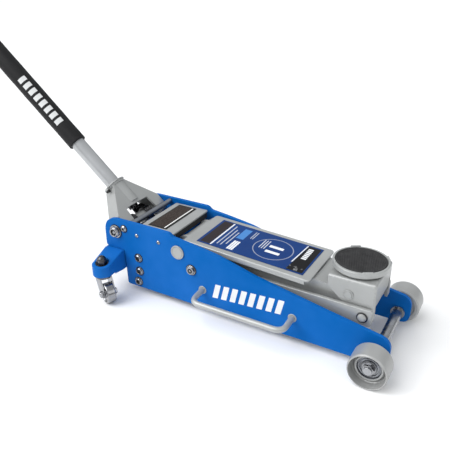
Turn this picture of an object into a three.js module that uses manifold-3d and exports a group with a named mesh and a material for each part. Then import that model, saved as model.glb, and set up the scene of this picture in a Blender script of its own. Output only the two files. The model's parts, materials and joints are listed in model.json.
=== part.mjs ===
// Hydraulic floor jack (trolley jack) with a level-lifting saddle, a two-piece pump handle, two front wheels
// and two rear casters. Millimetres, +Z up, +X towards the saddle end, left is +Y.
// The pieces are modelled from the floor point below the front axle, and the whole jack is then centred on
// the middle of its own footprint.
import * as THREE from "three";
import { ConvexGeometry } from "three/addons/geometries/ConvexGeometry.js";
import { mergeVertices } from "three/addons/utils/BufferGeometryUtils.js";
import Module from "manifold-3d";

const wasm = await Module();
wasm.setup();

// ---------- driving dimensions ----------
const GAP = 0.3; // between pieces that touch
const SIDES = [
  { name: "left", sign: 1 },
  { name: "right", sign: -1 },
];

// chassis
const PLATE_OUT = 82; // outer face of a side plate from the middle plane
const PLATE_THICK = 8;
const PLATE_IN = PLATE_OUT - PLATE_THICK;
const PLATE_TOP = 171;
const PLATE_BOTTOM = 15;
const NOTCH_X = -571; // the plate is cut away behind and below this corner for the caster bracket
const NOTCH_Z = 99;

// front wheels and axle
const WHEEL_R = 36.8;
const WHEEL_IN = 96.6; // inner face from the middle plane
const WHEEL_WIDTH = 43;
const AXLE_Z = WHEEL_R;
const AXLE_R = 10.5;
const STUB_R = 8;

// lifting linkage: arm pivot, levelling-link pivot and saddle pin, as [x, z]
const ARM_PIVOT = [-428.3, 132.1];
const LINK_PIVOT = [-395.7, 99];
const SADDLE_PIN = [-70, 128];
const LINK_PIN = [
  SADDLE_PIN[0] + LINK_PIVOT[0] - ARM_PIVOT[0],
  SADDLE_PIN[1] + LINK_PIVOT[1] - ARM_PIVOT[1],
];
const ARM_SHAFT_R = 12;
const LINK_BOLT_R = 6;
const SADDLE_PIN_R = 8;
const LINK_IN = 57.3;
const LINK_THICK = 7.5;
const LINK_HALF_HEIGHT = 17;
const ARM_OUT = 46; // outer face of the arm's side walls
const ARM_WALL = 8;

// arm cover, sloping down to the front
const COVER_REAR = [-423, 157];
const COVER_FRONT = [-141, 142];
const COVER_HALF_WIDTH = 69.5;
const COVER_THICK = 4;
const COVER_LIP = 7;

// saddle
const BRACKET_REAR = -111;
const BRACKET_FRONT = -20;
const BRACKET_TOP = 161;
const BRACKET_HALF_WIDTH = 55;
const BRACKET_WALL = 5;
const SADDLE_X = -67.3;
const SADDLE_TOP = 176.3;
const PAD_R = 48.2;
const CUP_R = 54;

// rear of the chassis
const HANDLE_PIVOT = [-591, 140.5];
const TIE_ROD = [-553, 163];
const STOP_BOLT = [-568, 152];
const REAR_COVER_X = [-532.6, -445.6];
const REAR_COVER_TOP = 164.6;
const BRACKET_BOLTS = [
  [-533, 89],
  [-532, 56.5],
  [-536.5, 29],
];

// handle, in its own frame: the handle runs along -X from its pivot
const HANDLE_ANGLE = THREE.MathUtils.degToRad(40.3);
const HANDLE_LIFT = 10; // the tube's axis above the pivot
const TUBE_R = 16.5;
const TUBE_WALL = 2;
const YOKE_HALF_WIDTH = 72;
const YOKE_FRONT = 27;
const YOKE_BACK = -17;
const YOKE_LENGTH = 92;
const SLEEVE_SPAN = [224, 545];
const JOINT_AT = 560;
const HANDLE_END = 1062;

// pump and lifting cylinder
const ROLLER_ORBIT = 24;
const ROLLER_R = 8;
const ROLLER_ANGLE = THREE.MathUtils.degToRad(280);
const PLUNGER_Z = 118;
const PLUNGER_R = 6.5;
const RAM_Z = 76.5;
const RAM_R = 14;
const LEVER_LENGTH = 60;
const LEVER_ANGLE = THREE.MathUtils.degToRad(250);
const LEVER_PIN_R = 7;

// rear casters
const CASTER_X = -590;
const CASTER_Y = 137;
const CASTER_TRAIL = 20;
const CASTER_WHEEL_R = 23;
const CASTER_YAW = THREE.MathUtils.degToRad(27);
const BOSS_Z = [62, 86];
const BRACKET_ROOT = [-619.5, -573.5];
const BRACKET_ROOT_Z = [52, 98];
const FLANGE_IN = 65.7; // the bracket's flange lies against the plate's inner face

// carry handles
const CARRY_REAR = [-369, 60];
const CARRY_FRONT = [-166, 58];
const CARRY_OUT = 127.5;
const CARRY_BAR_Z = 55;
const CARRY_R = 6;

// ---------- finishes ----------
const FINISH = {
  bluePaint: { color: 0x0566c8, roughness: 0.35, metalness: 0.1 },
  greyPaint: { color: 0xb4b6b6, roughness: 0.4, metalness: 0.3 },
  zinc: { color: 0xb9bcc0, roughness: 0.3, metalness: 0.9 },
  darkSteel: { color: 0x4a4c50, roughness: 0.5, metalness: 0.8 },
  castIron: { color: 0x3a3c3f, roughness: 0.7, metalness: 0.5 },
  chrome: { color: 0xd8dadd, roughness: 0.12, metalness: 1 },
  rubber: { color: 0x232325, roughness: 0.9, metalness: 0 },
  foam: { color: 0x17171a, roughness: 0.8, metalness: 0 },
  label: { color: 0x1b3f78, roughness: 0.4, metalness: 0 },
  darkLabel: { color: 0x2c2320, roughness: 0.4, metalness: 0 },
};

// ---------- geometry helpers ----------
function solidOf(geometry) {
  const bare = geometry.clone();
  bare.deleteAttribute("normal");
  bare.deleteAttribute("uv");
  const merged = mergeVertices(bare, 1e-4);
  return new wasm.Manifold(
    new wasm.Mesh({
      numProp: 3,
      vertProperties: merged.attributes.position.array,
      triVerts: new Uint32Array(merged.index.array),
    }),
  );
}

function geometryOf(solid) {
  const mesh = solid.getMesh();
  const geometry = new THREE.BufferGeometry();
  geometry.setAttribute("position", new THREE.BufferAttribute(mesh.vertProperties, 3));
  geometry.setIndex(new THREE.BufferAttribute(mesh.triVerts, 1));
  geometry.computeVertexNormals();
  return geometry;
}

function meshOf(name, solid, finish) {
  const mesh = new THREE.Mesh(geometryOf(solid), new THREE.MeshStandardMaterial(finish));
  mesh.name = name;
  return mesh;
}

function unionOf(...solids) {
  return solids.reduce((sum, next) => sum.add(next));
}

// A closed outline of [x, y, corner radius] points.
function outline(corners) {
  const shape = new THREE.Shape();
  const points = corners.map(([x, y, radius = 0]) => ({ at: new THREE.Vector2(x, y), radius }));
  points.forEach((corner, i) => {
    const before = points[(i + points.length - 1) % points.length].at;
    const after = points[(i + 1) % points.length].at;
    const back = before.clone().sub(corner.at);
    const ahead = after.clone().sub(corner.at);
    const half = Math.abs(back.angleTo(ahead)) / 2;
    const reach = Math.min(corner.radius / Math.tan(half), back.length() / 2, ahead.length() / 2);
    const start = corner.at.clone().addScaledVector(back.normalize(), reach);
    const end = corner.at.clone().addScaledVector(ahead.normalize(), reach);
    if (i === 0) shape.moveTo(start.x, start.y);
    else shape.lineTo(start.x, start.y);
    if (reach > 0) shape.quadraticCurveTo(corner.at.x, corner.at.y, end.x, end.y);
  });
  shape.closePath();
  return shape;
}

function ringOutline(x, y, radius) {
  const shape = new THREE.Shape();
  shape.absarc(x, y, radius, 0, 2 * Math.PI, false);
  return shape;
}

function extruded(shape, depth, curveSegments = 5) {
  return new THREE.ExtrudeGeometry(shape, { depth, curveSegments, bevelEnabled: false });
}

// An XZ outline extruded along Y, from one distance to the other.
function plateXZ(shape, yFrom, yTo, curveSegments) {
  const geometry = extruded(shape, Math.abs(yTo - yFrom), curveSegments);
  geometry.rotateX(Math.PI / 2);
  geometry.translate(0, Math.max(yFrom, yTo), 0);
  return solidOf(geometry);
}

// An XY outline extruded along Z.
function slabXY(shape, zFrom, zTo, curveSegments) {
  const geometry = extruded(shape, zTo - zFrom, curveSegments);
  geometry.translate(0, 0, zFrom);
  return solidOf(geometry);
}

function box([x0, x1], [y0, y1], [z0, z1]) {
  const geometry = new THREE.BoxGeometry(x1 - x0, Math.abs(y1 - y0), z1 - z0);
  geometry.translate((x0 + x1) / 2, (y0 + y1) / 2, (z0 + z1) / 2);
  return solidOf(geometry);
}

// A cylinder along Y at [x, z]; six sides make a hexagon head.
function rodY([x, z], yFrom, yTo, radius, sides = 16) {
  const geometry = new THREE.CylinderGeometry(radius, radius, Math.abs(yTo - yFrom), sides);
  geometry.translate(x, (yFrom + yTo) / 2, z);
  return solidOf(geometry);
}

function rodX([y, z], xFrom, xTo, radius, sides = 16) {
  const geometry = new THREE.CylinderGeometry(radius, radius, xTo - xFrom, sides);
  geometry.rotateZ(Math.PI / 2);
  geometry.translate((xFrom + xTo) / 2, y, z);
  return solidOf(geometry);
}

function rodZ([x, y], zFrom, zTo, radius, sides = 16) {
  const geometry = new THREE.CylinderGeometry(radius, radius, zTo - zFrom, sides);
  geometry.rotateX(Math.PI / 2);
  geometry.translate(x, y, (zFrom + zTo) / 2);
  return solidOf(geometry);
}

// A turned solid about the Y axis from a closed [radius, height] profile, listed anticlockwise.
function turned(profile, segments = 32) {
  const points = profile.map(([r, h]) => new THREE.Vector2(r, h));
  if (profile[0][0] > 0) points.push(points[0].clone());
  return new THREE.LatheGeometry(points, segments);
}

// A turned solid moved to stand on the Y direction of one side, its profile's zero at the given distance.
function turnedY(profile, [x, z], sign, distance, segments) {
  const geometry = turned(profile, segments);
  if (sign < 0) geometry.rotateX(Math.PI);
  geometry.translate(x, sign * distance, z);
  return solidOf(geometry);
}

function turnedZ(profile, [x, y], segments) {
  const geometry = turned(profile, segments);
  geometry.rotateX(Math.PI / 2);
  geometry.translate(x, y, 0);
  return solidOf(geometry);
}

function polar([x, z], length, angle) {
  return [x + length * Math.cos(angle), z + length * Math.sin(angle)];
}

// ---------- chassis ----------
function sidePlate({ name, sign }) {
  const shape = outline([
    [-568, PLATE_BOTTOM, 6],
    [24, PLATE_BOTTOM, 20],
    [24, 74, 26],
    [-112, 99, 60],
    [-250, 126, 120],
    [-336, 149, 120],
    [-398, 158, 60],
    [-440, 163, 12],
    [-450, PLATE_TOP, 12],
    [-621.5, PLATE_TOP, 44],
    [-621.5, NOTCH_Z, 8],
    [NOTCH_X, NOTCH_Z, 4],
  ]);
  const holes = [
    [0, AXLE_Z, AXLE_R],
    [...ARM_PIVOT, ARM_SHAFT_R],
    [...LINK_PIVOT, LINK_BOLT_R],
    [...HANDLE_PIVOT, 8],
    [...STOP_BOLT, 4],
    ...BRACKET_BOLTS.map((bolt) => [...bolt, 4]),
  ];
  const blank = plateXZ(shape, sign * PLATE_IN, sign * PLATE_OUT, 5);
  const drill = ([x, z, r]) => rodY([x, z], sign * (PLATE_IN - 5), sign * (PLATE_OUT + 5), r + GAP);
  const drilled = holes.reduce((plate, hole) => plate.subtract(drill(hole)), blank);
  return meshOf(`side_plate_${name}`, drilled, FINISH.bluePaint);
}

function frontAxle() {
  const stubEnd = WHEEL_IN + WHEEL_WIDTH - 4;
  const axle = unionOf(
    rodY([0, AXLE_Z], -(WHEEL_IN - GAP), WHEEL_IN - GAP, AXLE_R),
    rodY([0, AXLE_Z], -stubEnd, stubEnd, STUB_R),
  );
  return meshOf("front_axle", axle, FINISH.zinc);
}

function frontWheel({ name, sign }) {
  const bore = STUB_R + GAP;
  const profile = [
    [bore, 0],
    [33.5, 0],
    [WHEEL_R, 3],
    [WHEEL_R, WHEEL_WIDTH - 3],
    [WHEEL_R - 2, WHEEL_WIDTH],
    [31, WHEEL_WIDTH],
    [29.5, 37],
    [24.5, 35],
    [22.5, 24],
    [14, 24],
    [12.5, 27],
    [bore, 27],
  ];
  return meshOf(
    `front_wheel_${name}`,
    turnedY(profile, [0, AXLE_Z], sign, WHEEL_IN, 28),
    FINISH.greyPaint,
  );
}

function hubNut({ name, sign }) {
  const from = sign * (WHEEL_IN + 27 + GAP);
  const to = sign * (WHEEL_IN + 36);
  const nut = rodY([0, AXLE_Z], from, to, 12, 6);
  const bore = rodY([0, AXLE_Z], from - sign * 5, to + sign * 5, STUB_R + GAP);
  return meshOf(`hub_nut_${name}`, nut.subtract(bore), FINISH.zinc);
}

function armPivotShaft() {
  const head = PLATE_OUT + GAP;
  const shaft = unionOf(
    rodY(ARM_PIVOT, -head, head, ARM_SHAFT_R),
    rodY(ARM_PIVOT, head, head + 3, 15.5),
    rodY(ARM_PIVOT, -head - 3, -head, 15.5),
  );
  return meshOf("arm_pivot_shaft", shaft, FINISH.greyPaint);
}

function linkPivotBolt({ name, sign }) {
  const head = sign * (PLATE_OUT + GAP);
  const spacerFrom = sign * (LINK_IN + LINK_THICK + GAP);
  const bolt = unionOf(
    rodY(LINK_PIVOT, sign * (LINK_IN - 4), head, LINK_BOLT_R),
    rodY(LINK_PIVOT, spacerFrom, sign * (PLATE_IN - GAP), 10),
    rodY(LINK_PIVOT, head, head + sign * 6, 10, 6),
  );
  return meshOf(`link_pivot_bolt_${name}`, bolt, FINISH.zinc);
}

function handlePivotBolt({ name, sign }) {
  const head = sign * (PLATE_OUT + GAP);
  const bolt = unionOf(
    rodY(HANDLE_PIVOT, sign * 60, head, 8),
    rodY(HANDLE_PIVOT, head, head + sign * 2, 15),
    rodY(HANDLE_PIVOT, head + sign * 2, head + sign * 10, 12, 6),
  );
  return meshOf(`handle_pivot_bolt_${name}`, bolt, FINISH.zinc);
}

function stopBolt({ name, sign }) {
  const head = sign * (PLATE_OUT + GAP);
  const bolt = unionOf(
    rodY(STOP_BOLT, sign * (PLATE_IN - 2), head, 4),
    rodY(STOP_BOLT, head, head + sign * 4, 8),
  );
  return meshOf(`stop_bolt_${name}`, bolt, FINISH.zinc);
}

function rearTieRod() {
  const reach = PLATE_IN - GAP;
  return meshOf("rear_tie_rod", rodY(TIE_ROD, -reach, reach, 6), FINISH.zinc);
}

function rearCover() {
  const [rear, front] = REAR_COVER_X;
  const thick = 3;
  const half = COVER_HALF_WIDTH;
  const underside = REAR_COVER_TOP - thick;
  const panel = outline([
    [rear, -half, 5],
    [front, -half, 5],
    [front, half, 5],
    [rear, half, 5],
  ]);
  const flange = outline([
    [rear - 8, 132, 6],
    [front - 8, 132, 6],
    [front - 8, underside + 1],
    [rear + 6, underside + 1],
    [rear - 8, 152, 4],
  ]);
  const cover = unionOf(
    slabXY(panel, underside, REAR_COVER_TOP),
    plateXZ(flange, half - thick, half),
    plateXZ(flange, -half, thick - half),
    box([front - thick, front], [7 - half, half - 7], [149, underside + 1]),
  );
  return meshOf("rear_cover", cover, FINISH.greyPaint);
}

function rearLabel() {
  const from = REAR_COVER_TOP + GAP;
  return meshOf("rear_label", box([-518, -471], [-60, 60], [from, from + 0.5]), FINISH.darkLabel);
}

function carryHandle({ name, sign }) {
  const root = sign * (PLATE_OUT + GAP);
  const out = sign * CARRY_OUT;
  const bend = 14;
  const [rearX, rearZ] = CARRY_REAR;
  const [frontX, frontZ] = CARRY_FRONT;
  const point = (x, y, z) => new THREE.Vector3(x, y, z);
  const path = new THREE.CurvePath();
  const rearCorner = point(rearX, out, CARRY_BAR_Z);
  const frontCorner = point(frontX, out, CARRY_BAR_Z);
  const rearLegEnd = point(rearX, out - sign * bend, CARRY_BAR_Z + 1);
  const rearBarStart = point(rearX + bend, out, CARRY_BAR_Z);
  const frontBarEnd = point(frontX - bend, out, CARRY_BAR_Z);
  const frontLegStart = point(frontX, out - sign * bend, CARRY_BAR_Z + 1);
  path.add(new THREE.LineCurve3(point(rearX, root, rearZ), rearLegEnd));
  path.add(new THREE.QuadraticBezierCurve3(rearLegEnd, rearCorner, rearBarStart));
  path.add(new THREE.LineCurve3(rearBarStart, frontBarEnd));
  path.add(new THREE.QuadraticBezierCurve3(frontBarEnd, frontCorner, frontLegStart));
  path.add(new THREE.LineCurve3(frontLegStart, point(frontX, root, frontZ)));
  const section = ringOutline(0, 0, CARRY_R);
  const geometry = new THREE.ExtrudeGeometry(section, { steps: 30, extrudePath: path, curveSegments: 4 });
  const beyond = sign * (PLATE_OUT + GAP);
  const trim = box([-420, -120], [beyond - sign * 20, beyond], [30, 90]);
  return meshOf(`carry_handle_${name}`, solidOf(geometry).subtract(trim), FINISH.greyPaint);
}

// ---------- pump, cylinder and release valve ----------
function plungerEnd() {
  const [rollerX] = polar(HANDLE_PIVOT, ROLLER_ORBIT, ROLLER_ANGLE);
  return rollerX + ROLLER_R + 1;
}

function pumpBlock() {
  const shape = outline([
    [-48, 44, 8],
    [48, 44, 8],
    [48, 104, 12],
    [20, 130, 8],
    [-20, 130, 8],
    [-48, 104, 12],
  ]);
  const body = extruded(shape, 32, 3);
  body.rotateX(Math.PI / 2);
  body.rotateZ(Math.PI / 2);
  body.translate(-562, 0, 0);
  const block = unionOf(solidOf(body), rodX([0, PLUNGER_Z], -531, -516, 10));
  const cut = unionOf(
    rodX([0, PLUNGER_Z], -565, -518, PLUNGER_R + GAP),
    rodX([0, RAM_Z], -559, -520, RAM_R + GAP),
    rodX([28, 92], -570, -545, 5 + GAP),
  );
  return meshOf("pump_block", block.subtract(cut), FINISH.castIron);
}

function reservoirTank() {
  const from = -530 + GAP;
  const tank = unionOf(
    rodX([0, RAM_Z], from, -492, 31, 24),
    rodX([0, RAM_Z], -493, -480, 23, 20),
  );
  return meshOf("reservoir_tank", tank.subtract(rodX([0, RAM_Z], -540, -470, RAM_R + GAP)), FINISH.castIron);
}

function fillerPlug() {
  const top = RAM_Z + 31 + GAP;
  return meshOf("filler_plug", rodZ([-506, 0], top, top + 5, 5, 6), FINISH.rubber);
}

function ram() {
  const [pinX] = polar(ARM_PIVOT, LEVER_LENGTH, LEVER_ANGLE);
  const eye = outline([
    [pinX - 17, RAM_Z - 24, 6],
    [pinX + 15, RAM_Z - 24, 6],
    [pinX + 15, RAM_Z + 24, 6],
    [pinX - 17, RAM_Z + 24, 6],
  ]);
  const slotHalf = LEVER_PIN_R + 1.5;
  const slotHeight = LEVER_PIN_R + 6;
  const slot = outline([
    [pinX - slotHalf, RAM_Z - slotHeight, 4],
    [pinX + slotHalf, RAM_Z - slotHeight, 4],
    [pinX + slotHalf, RAM_Z + slotHeight, 4],
    [pinX - slotHalf, RAM_Z + slotHeight, 4],
  ]);
  const piston = unionOf(
    rodX([0, RAM_Z], -546, pinX - 12, RAM_R),
    plateXZ(eye, -12, 12, 3),
  );
  return meshOf("ram", piston.subtract(plateXZ(slot, -20, 20, 3)), FINISH.chrome);
}

function pumpPlunger() {
  const end = plungerEnd();
  const plunger = unionOf(
    rodX([0, PLUNGER_Z], end, end + 3.5, 9.5),
    rodX([0, PLUNGER_Z], end + 3, -530, PLUNGER_R),
  );
  return meshOf("pump_plunger", plunger, FINISH.chrome);
}

function releaseValve() {
  const stem = unionOf(
    rodX([28, 92], -576, -547, 5),
    rodY([-572, 92], 20, 36, 2.5, 10),
  );
  return meshOf("release_valve_stem", stem, FINISH.zinc);
}

// ---------- lifting arm ----------
function coverHeight(x) {
  const slope = (COVER_FRONT[1] - COVER_REAR[1]) / (COVER_FRONT[0] - COVER_REAR[0]);
  return COVER_REAR[1] + slope * (x - COVER_REAR[0]);
}

function liftArm() {
  const under = (x) => coverHeight(x) - COVER_THICK - GAP;
  const wall = outline([
    [-451, 107, 22],
    [-370, 99, 40],
    [-88, 97, 14],
    [-53, 114, 14],
    [-53, 142, 14],
    [-84, 142, 10],
    [-118, 134, 10],
    [-150, under(-150), 6],
    [-451, under(-451), 22],
  ]);
  const web = outline([
    [-405, under(-405) - 5],
    [-150, under(-150) - 5],
    [-118, 129],
    [-118, 134],
    [-150, under(-150)],
    [-405, under(-405)],
  ]);
  const leverPin = polar(ARM_PIVOT, LEVER_LENGTH, LEVER_ANGLE);
  const lever = outline([
    [ARM_PIVOT[0] - 20, ARM_PIVOT[1], 4],
    [leverPin[0] - 14, leverPin[1] - 4, 8],
    [leverPin[0] - 5, leverPin[1] - 14, 8],
    [leverPin[0] + 12, leverPin[1] - 8, 8],
    [ARM_PIVOT[0] + 20, ARM_PIVOT[1], 4],
  ]);
  const inner = ARM_OUT - ARM_WALL;
  const arm = unionOf(
    plateXZ(wall, inner, ARM_OUT, 4),
    plateXZ(wall, -ARM_OUT, -inner, 4),
    plateXZ(web, -inner - 1, inner + 1),
    rodY(ARM_PIVOT, -inner - 1, inner + 1, 20),
    rodY(ARM_PIVOT, -(PLATE_IN - 4), PLATE_IN - 4, 16),
    plateXZ(lever, 14, 24, 4),
    plateXZ(lever, -24, -14, 4),
  );
  const cut = unionOf(
    rodY(ARM_PIVOT, -80, 80, ARM_SHAFT_R + GAP),
    rodY(SADDLE_PIN, -50, 50, SADDLE_PIN_R + GAP),
    rodY(leverPin, -30, 30, LEVER_PIN_R + GAP),
  );
  return meshOf("lift_arm", arm.subtract(cut), FINISH.greyPaint);
}

function ramPin() {
  const pin = polar(ARM_PIVOT, LEVER_LENGTH, LEVER_ANGLE);
  return meshOf("ram_pin", rodY(pin, -28, 28, LEVER_PIN_R), FINISH.zinc);
}

// A piece made flat, with its rear top edge at the origin, laid on the cover's slope.
function laidOnSlope(name, solid, finish) {
  const mesh = meshOf(name, solid, finish);
  mesh.rotation.y = Math.atan2(COVER_REAR[1] - COVER_FRONT[1], COVER_FRONT[0] - COVER_REAR[0]);
  mesh.position.set(COVER_REAR[0], 0, COVER_REAR[1]);
  return mesh;
}

function armCover() {
  const length = COVER_FRONT[0] - COVER_REAR[0];
  const half = COVER_HALF_WIDTH;
  const panel = outline([
    [0, -half, 8],
    [length, -half, 8],
    [length, half, 8],
    [0, half, 8],
  ]);
  const lip = COVER_THICK + COVER_LIP;
  const cover = unionOf(
    slabXY(panel, -COVER_THICK, 0),
    box([10, length - 10], [half - 3, half], [-lip, -1]),
    box([10, length - 10], [-half, 3 - half], [-lip, -1]),
  );
  return laidOnSlope("arm_cover", cover, FINISH.greyPaint);
}

function armLabel() {
  return laidOnSlope("arm_label", box([26, 263], [-57, 57], [GAP, GAP + 0.5]), FINISH.label);
}

// ---------- levelling links ----------
function levellingLink({ name, sign }) {
  const half = LINK_HALF_HEIGHT;
  const bar = outline([
    [LINK_PIVOT[0] - half, LINK_PIVOT[1] - half, 14],
    [LINK_PIN[0] + half, LINK_PIN[1] - half, 5],
    [LINK_PIN[0] + half, LINK_PIN[1] + half, 5],
    [LINK_PIVOT[0] - half, LINK_PIVOT[1] + half, 14],
  ]);
  const from = sign * LINK_IN;
  const to = sign * (LINK_IN + LINK_THICK);
  const drill = ([x, z]) => rodY([x, z], from - sign * 5, to + sign * 5, LINK_BOLT_R + GAP);
  const link = plateXZ(bar, from, to).subtract(drill(LINK_PIVOT)).subtract(drill(LINK_PIN));
  return meshOf(`levelling_link_${name}`, link, FINISH.greyPaint);
}

function linkFrontBolt({ name, sign }) {
  const head = sign * (LINK_IN + LINK_THICK + GAP);
  const bolt = unionOf(
    rodY(LINK_PIN, sign * (BRACKET_HALF_WIDTH - BRACKET_WALL - 3), head, LINK_BOLT_R),
    rodY(LINK_PIN, head, head + sign * 5, 9, 6),
  );
  return meshOf(`link_front_bolt_${name}`, bolt, FINISH.zinc);
}

// ---------- saddle ----------
function saddleBracket() {
  const half = BRACKET_HALF_WIDTH;
  const cheek = outline([
    [BRACKET_REAR, BRACKET_TOP, 3],
    [BRACKET_REAR, 138, 4],
    [-86, 115, 4],
    [LINK_PIN[0] - 13, LINK_PIN[1] - 12, 12],
    [BRACKET_FRONT, LINK_PIN[1] - 12, 14],
    [BRACKET_FRONT, BRACKET_TOP, 3],
  ]);
  const topPlate = outline([
    [BRACKET_REAR, -half],
    [BRACKET_FRONT, -half],
    [BRACKET_FRONT, half],
    [BRACKET_REAR, half],
  ]);
  const bracket = unionOf(
    plateXZ(cheek, half - BRACKET_WALL, half),
    plateXZ(cheek, -half, BRACKET_WALL - half),
    slabXY(topPlate, BRACKET_TOP - BRACKET_WALL, BRACKET_TOP - 1),
    box([BRACKET_FRONT - BRACKET_WALL, BRACKET_FRONT], [-half, half], [110, BRACKET_TOP - 1]),
  );
  const cut = unionOf(
    rodY(SADDLE_PIN, -60, 60, SADDLE_PIN_R + GAP),
    rodY(LINK_PIN, -60, 60, LINK_BOLT_R + GAP),
    rodZ([SADDLE_X, 0], 150, 170, 10 + GAP),
  );
  return meshOf("saddle_bracket", bracket.subtract(cut), FINISH.greyPaint);
}

function saddlePin() {
  const head = BRACKET_HALF_WIDTH + GAP;
  const pin = unionOf(
    rodY(SADDLE_PIN, -head, head, SADDLE_PIN_R),
    rodY(SADDLE_PIN, head, head + 1.5, 9.5),
    rodY(SADDLE_PIN, -head - 1.5, -head, 9.5),
  );
  return meshOf("saddle_pin", pin, FINISH.zinc);
}

function saddleCup() {
  const floorZ = BRACKET_TOP + GAP;
  const profile = [
    [0, 150],
    [10, 150],
    [10, floorZ],
    [CUP_R - 4, floorZ],
    [CUP_R, floorZ + 3],
    [CUP_R, SADDLE_TOP - 1.5],
    [CUP_R - 1.5, SADDLE_TOP - 0.3],
    [PAD_R + GAP + 0.7, SADDLE_TOP - 0.3],
    [PAD_R + GAP + 0.7, 167.5],
    [0, 167.5],
  ];
  const cup = turnedZ(profile, [SADDLE_X, 0], 32);
  const tabs = [30, 120, 210, 300].map((degrees) => {
    const tab = new THREE.BoxGeometry(3.4, 20, 8);
    tab.translate(CUP_R - 2.4, 0, SADDLE_TOP - 2);
    tab.rotateZ(THREE.MathUtils.degToRad(degrees));
    tab.translate(SADDLE_X, 0, 0);
    return solidOf(tab);
  });
  return meshOf("saddle_cup", unionOf(cup, ...tabs), FINISH.greyPaint);
}

function saddlePad() {
  const profile = [
    [0, 167.5 + GAP],
    [PAD_R, 167.5 + GAP],
    [PAD_R, SADDLE_TOP - 0.8],
    [PAD_R - 0.8, SADDLE_TOP],
    [0, SADDLE_TOP],
  ];
  return meshOf("saddle_pad", turnedZ(profile, [SADDLE_X, 0], 32), FINISH.rubber);
}

// ---------- casters ----------
// The convex shape stretched over two others.
function wrapped(...geometries) {
  const corners = geometries.flatMap((geometry) => {
    const places = geometry.getAttribute("position");
    return Array.from({ length: places.count }, (_, i) => new THREE.Vector3().fromBufferAttribute(places, i));
  });
  return new ConvexGeometry(corners);
}

function casterBracket({ name, sign }) {
  const [rear, front] = BRACKET_ROOT;
  const [low, high] = BRACKET_ROOT_Z;
  const flange = outline([
    [rear, low, 6],
    [-563, low],
    [-563, PLATE_BOTTOM + 2, 8],
    [-518, PLATE_BOTTOM + 2, 8],
    [-518, high, 10],
    [rear, high, 6],
  ]);
  const flangeEnds = [sign * FLANGE_IN, sign * (PLATE_IN - GAP)];
  const root = new THREE.BoxGeometry(front - rear, PLATE_OUT + 7 - FLANGE_IN, high - low);
  root.translate((rear + front) / 2, (sign * (PLATE_OUT + 9 + FLANGE_IN)) / 2, (low + high) / 2);
  const boss = new THREE.CylinderGeometry(22, 22, BOSS_Z[1] - BOSS_Z[0], 32);
  boss.rotateX(Math.PI / 2);
  boss.translate(CASTER_X, sign * CASTER_Y, (BOSS_Z[0] + BOSS_Z[1]) / 2);
  const bracket = unionOf(plateXZ(flange, ...flangeEnds), solidOf(wrapped(root, boss)));
  const bolts = BRACKET_BOLTS.map((bolt) => rodY(bolt, sign * 60, sign * 80, 4 + GAP));
  const swivel = [CASTER_X, sign * CASTER_Y];
  const cut = unionOf(
    rodZ(swivel, 30, 100, 8 + GAP),
    rodZ(swivel, 30, BOSS_Z[0], 26, 32),
    rodZ(swivel, BOSS_Z[1], 110, 15.5, 32),
    ...bolts,
  );
  return meshOf(`caster_bracket_${name}`, bracket.subtract(cut), FINISH.bluePaint);
}

function bracketBolt({ name, sign }, index) {
  const head = sign * (PLATE_OUT + GAP);
  const bolt = unionOf(
    rodY(BRACKET_BOLTS[index], sign * (FLANGE_IN + 1), head, 4),
    rodY(BRACKET_BOLTS[index], head, head + sign * 5, 8, 6),
  );
  return meshOf(`bracket_bolt_${name}_${index + 1}`, bolt, FINISH.zinc);
}

function casterFork({ name, sign }) {
  const top = BOSS_Z[0] - GAP;
  const cheek = outline([
    [-14, top - 4],
    [-14, top - 14, 4],
    [CASTER_TRAIL - 9, CASTER_WHEEL_R - 9, 8],
    [CASTER_TRAIL + 9, CASTER_WHEEL_R - 9, 8],
    [CASTER_TRAIL + 9, CASTER_WHEEL_R + 9, 6],
    [15, top - 4],
  ]);
  const fork = unionOf(
    rodZ([0, 0], top - 7, top, 16, 16),
    rodZ([0, 0], top - 1, 96, 8),
    plateXZ(cheek, 11, 14),
    plateXZ(cheek, -14, -11),
    box([-14, 15], [-13, 13], [top - 7, top - 4]),
  );
  const bore = rodY([CASTER_TRAIL, CASTER_WHEEL_R], -20, 20, 4 + GAP);
  return turnedCaster(`caster_fork_${name}`, fork.subtract(bore), sign, FINISH.zinc);
}

function casterWheel({ name, sign }) {
  const half = 9.5;
  const profile = [
    [4 + GAP, 0],
    [9, 0],
    [9, 2],
    [18, 2],
    [19, 0],
    [CASTER_WHEEL_R - 1, 0],
    [CASTER_WHEEL_R, 1.5],
    [CASTER_WHEEL_R, 2 * half - 1.5],
    [CASTER_WHEEL_R - 1, 2 * half],
    [19, 2 * half],
    [18, 2 * half - 2],
    [9, 2 * half - 2],
    [9, 2 * half],
    [4 + GAP, 2 * half],
  ];
  const wheel = turnedY(profile, [CASTER_TRAIL, CASTER_WHEEL_R], 1, -half, 20);
  return turnedCaster(`caster_wheel_${name}`, wheel, sign, FINISH.zinc);
}

function casterAxle({ name, sign }) {
  const at = [CASTER_TRAIL, CASTER_WHEEL_R];
  const axle = unionOf(
    rodY(at, -19, 19, 4),
    rodY(at, 14 + GAP, 19.3, 7.5, 6),
    rodY(at, -19.3, -14 - GAP, 7.5, 6),
  );
  return turnedCaster(`caster_axle_${name}`, axle, sign, FINISH.zinc);
}

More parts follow.
